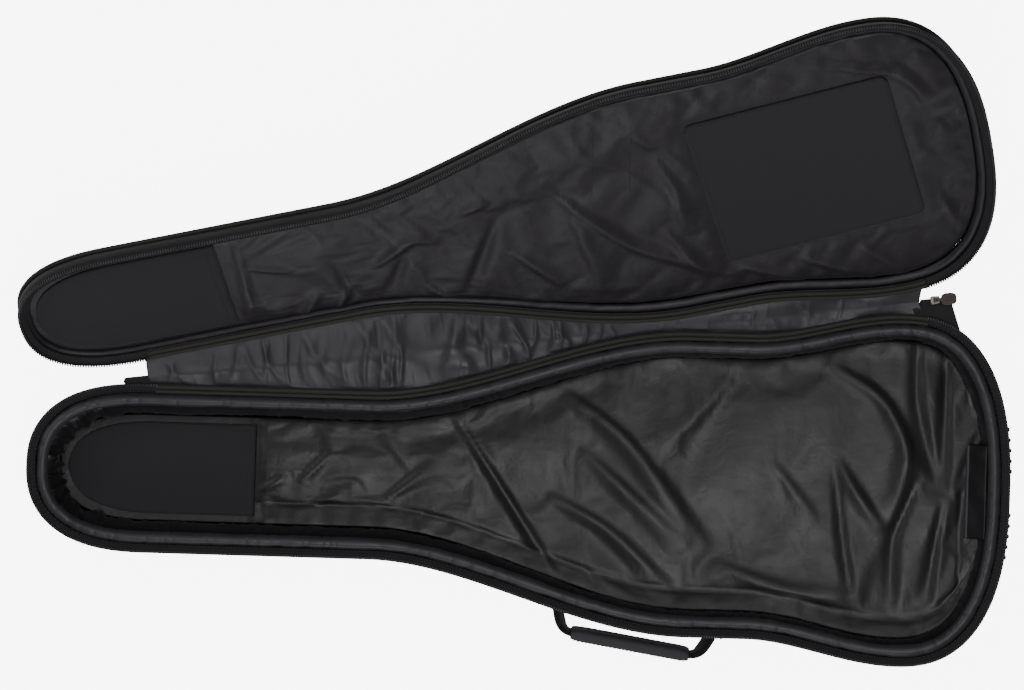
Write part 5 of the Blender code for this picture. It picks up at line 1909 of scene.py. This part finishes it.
    def _puller(self, name: str, matrix: Matrix, body: Body, node: str) -> None:
        """Builds one pull tab: its eye, its neck and its ridged grip."""
        shape = bmesh.new()
        eye = []
        for i in range(EYE_STEPS):
            angle = 2 * math.pi * i / EYE_STEPS
            row = []
            for radius, y in EYE_PROFILE:
                place = Vector((radius * math.cos(angle), y, radius * math.sin(angle)))
                row.append(shape.verts.new(matrix @ place))
            eye.append(row)
        for a, b in zip(eye, eye[1:] + eye[:1]):
            self._join(shape, a, b)
        self._block(shape, matrix, (0.0013, -0.0016, -0.0009), (0.0075, 0.0016, 0.0009), 0.0004)
        outline = []
        for step in range(TAB_STEPS):
            angle = 2 * math.pi * step / TAB_STEPS
            x = TAB_MIDDLE + 0.00815 * squared(math.cos(angle), 0.7)
            outline.append((x, 0.0064 * squared(math.sin(angle), 0.7)))
        self._stack(shape, matrix, TAB_MIDDLE, outline, TAB_LEVELS)
        for x in (0.0105, 0.0130, 0.0155, 0.0180):
            self._block(shape, matrix, (x, -0.0036, 0.0006), (x + 0.0009, 0.0036, 0.0012), 0.0003)
        self._close(name, shape, "vinyl", body, "puller_rubber", node)

    def _close(
        self, name: str, shape: bmesh.types.BMesh, finish: str, body: Body, slot: str, node: str
    ) -> None:
        """Turns the made shape into a piece."""
        bmesh.ops.recalc_face_normals(shape, faces=shape.faces)
        mesh = take_mesh(shape, name)
        mesh.polygons.foreach_set("use_smooth", [False] * len(mesh.polygons))
        self.shop.piece(name, mesh, finish, body, slot, [node])


# ---------------------------------------------------------------- studio


@dataclass
class Studio:
    """Pale floor, soft lights and the camera over the bag."""

    height: float = 4.5
    metres_per_pixel: float = 0.00105
    centre: tuple[float, float] = (-0.016, 0.139)
    turn_deg: float = 1.7

    def build(self) -> None:
        """Builds the floor, the lights and the camera."""
        self._floor()
        self._light("key_softbox", (0.30, -0.95, 3.6), 1.3, 30.0)
        self._light("fill_softbox", (-2.6, 1.2, 2.6), 2.2, 26.0)
        self._light("top_softbox", (0.9, 0.9, 4.0), 1.6, 14.0)
        self._light("low_softbox", (-0.2, -2.6, 1.15), 1.2, 12.0)
        world = bpy.data.worlds.new("studio_air")
        world.use_nodes = True
        sky = world.node_tree.nodes["Background"]
        sky.inputs["Color"].default_value = (1.0, 1.0, 1.0, 1.0)
        sky.inputs["Strength"].default_value = 0.17
        bpy.context.scene.world = world
        self._camera()

    def _floor(self) -> None:
        """Plain pale floor under the bag."""
        mesh = bpy.data.meshes.new("studio_floor")
        half = 8.0
        corners = np.array([(-half, -half), (half, -half), (half, half), (-half, half)])
        mesh.from_pydata(raised(corners, -0.0004).tolist(), [], [(0, 1, 2, 3)])
        floor = link_object("studio_floor", mesh)
        material, tree, shader = new_shader("pale_backdrop_paper")
        shader.inputs["Base Color"].default_value = linear("#f4f4f5")
        shader.inputs["Roughness"].default_value = 0.9
        # White for the camera only, so that it doesn't light the bag from below.
        seen = add_node(tree, "ShaderNodeLightPath").outputs["Is Camera Ray"]
        glow = add_math(tree, "MULTIPLY_ADD", seen, 7.0, 0.25)
        shader.inputs["Emission Color"].default_value = (1.0, 1.0, 1.0, 1.0)
        tree.links.new(glow, shader.inputs["Emission Strength"])
        mesh.materials.append(material)

    def _light(self, name: str, place: Sequence[float], size: float, power: float) -> None:
        """One soft area light that faces the bag."""
        data = bpy.data.lights.new(name, "AREA")
        data.size = size
        data.energy = power
        light = link_object(name, data)
        light.location = place
        aim = Vector((0.05, 0.1, 0.05)) - Vector(place)
        light.rotation_euler = aim.to_track_quat("-Z", "Y").to_euler()

    def _camera(self) -> None:
        """Camera that looks straight down, as the photograph does."""
        data = bpy.data.cameras.new("photo_camera")
        data.sensor_width = 36.0
        data.sensor_fit = "HORIZONTAL"
        data.lens = 36.0 * self.height / (1024 * self.metres_per_pixel)
        data.clip_end = 60.0
        camera = link_object("photo_camera", data)
        camera.location = (*self.centre, self.height)
        camera.rotation_euler = (0.0, 0.0, math.radians(self.turn_deg))
        bpy.context.scene.camera = camera


# ---------------------------------------------------------------- main


def lid_matrix() -> tuple[Matrix, Vector, Vector]:
    """Matrix from the lid's closed place to its open rest, and the hinge's point and axis."""
    hinge = joint("lid_hinge")
    point = Vector(hinge["pos_m"])
    axis = Vector(hinge["axis"]).normalized()
    opening = math.radians(hinge["range_deg"][1])
    turn = Matrix.Rotation(-opening, 4, axis)
    return Matrix.Translation(point) @ turn @ Matrix.Translation(-point), point, axis


def main() -> None:
    """Builds the bag piece by piece, then the studio."""
    logging.basicConfig(level=logging.INFO, format="%(name)s %(message)s")
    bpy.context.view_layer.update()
    plan = BagPlan()
    place, point, axis = lid_matrix()
    finishes = {key: recipe.build() for key, recipe in RECIPES.items()}
    line, dense_line = plan.stations(COARSE_COUNT), plan.stations(DENSE_COUNT)
    shop = Workshop(plan, finishes, PathRepeat(), line, dense_line, place, point, axis)
    TrayHalf(shop).build()
    LidHalf(shop).build()
    HingeCloth(shop).build()
    ButtGuard(shop).build()
    SideHandle(shop).build()
    PinFlap(shop).build()
    ZipHardware(shop).build()
    Studio().build()
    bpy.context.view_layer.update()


if __name__ == "__main__":
    main()
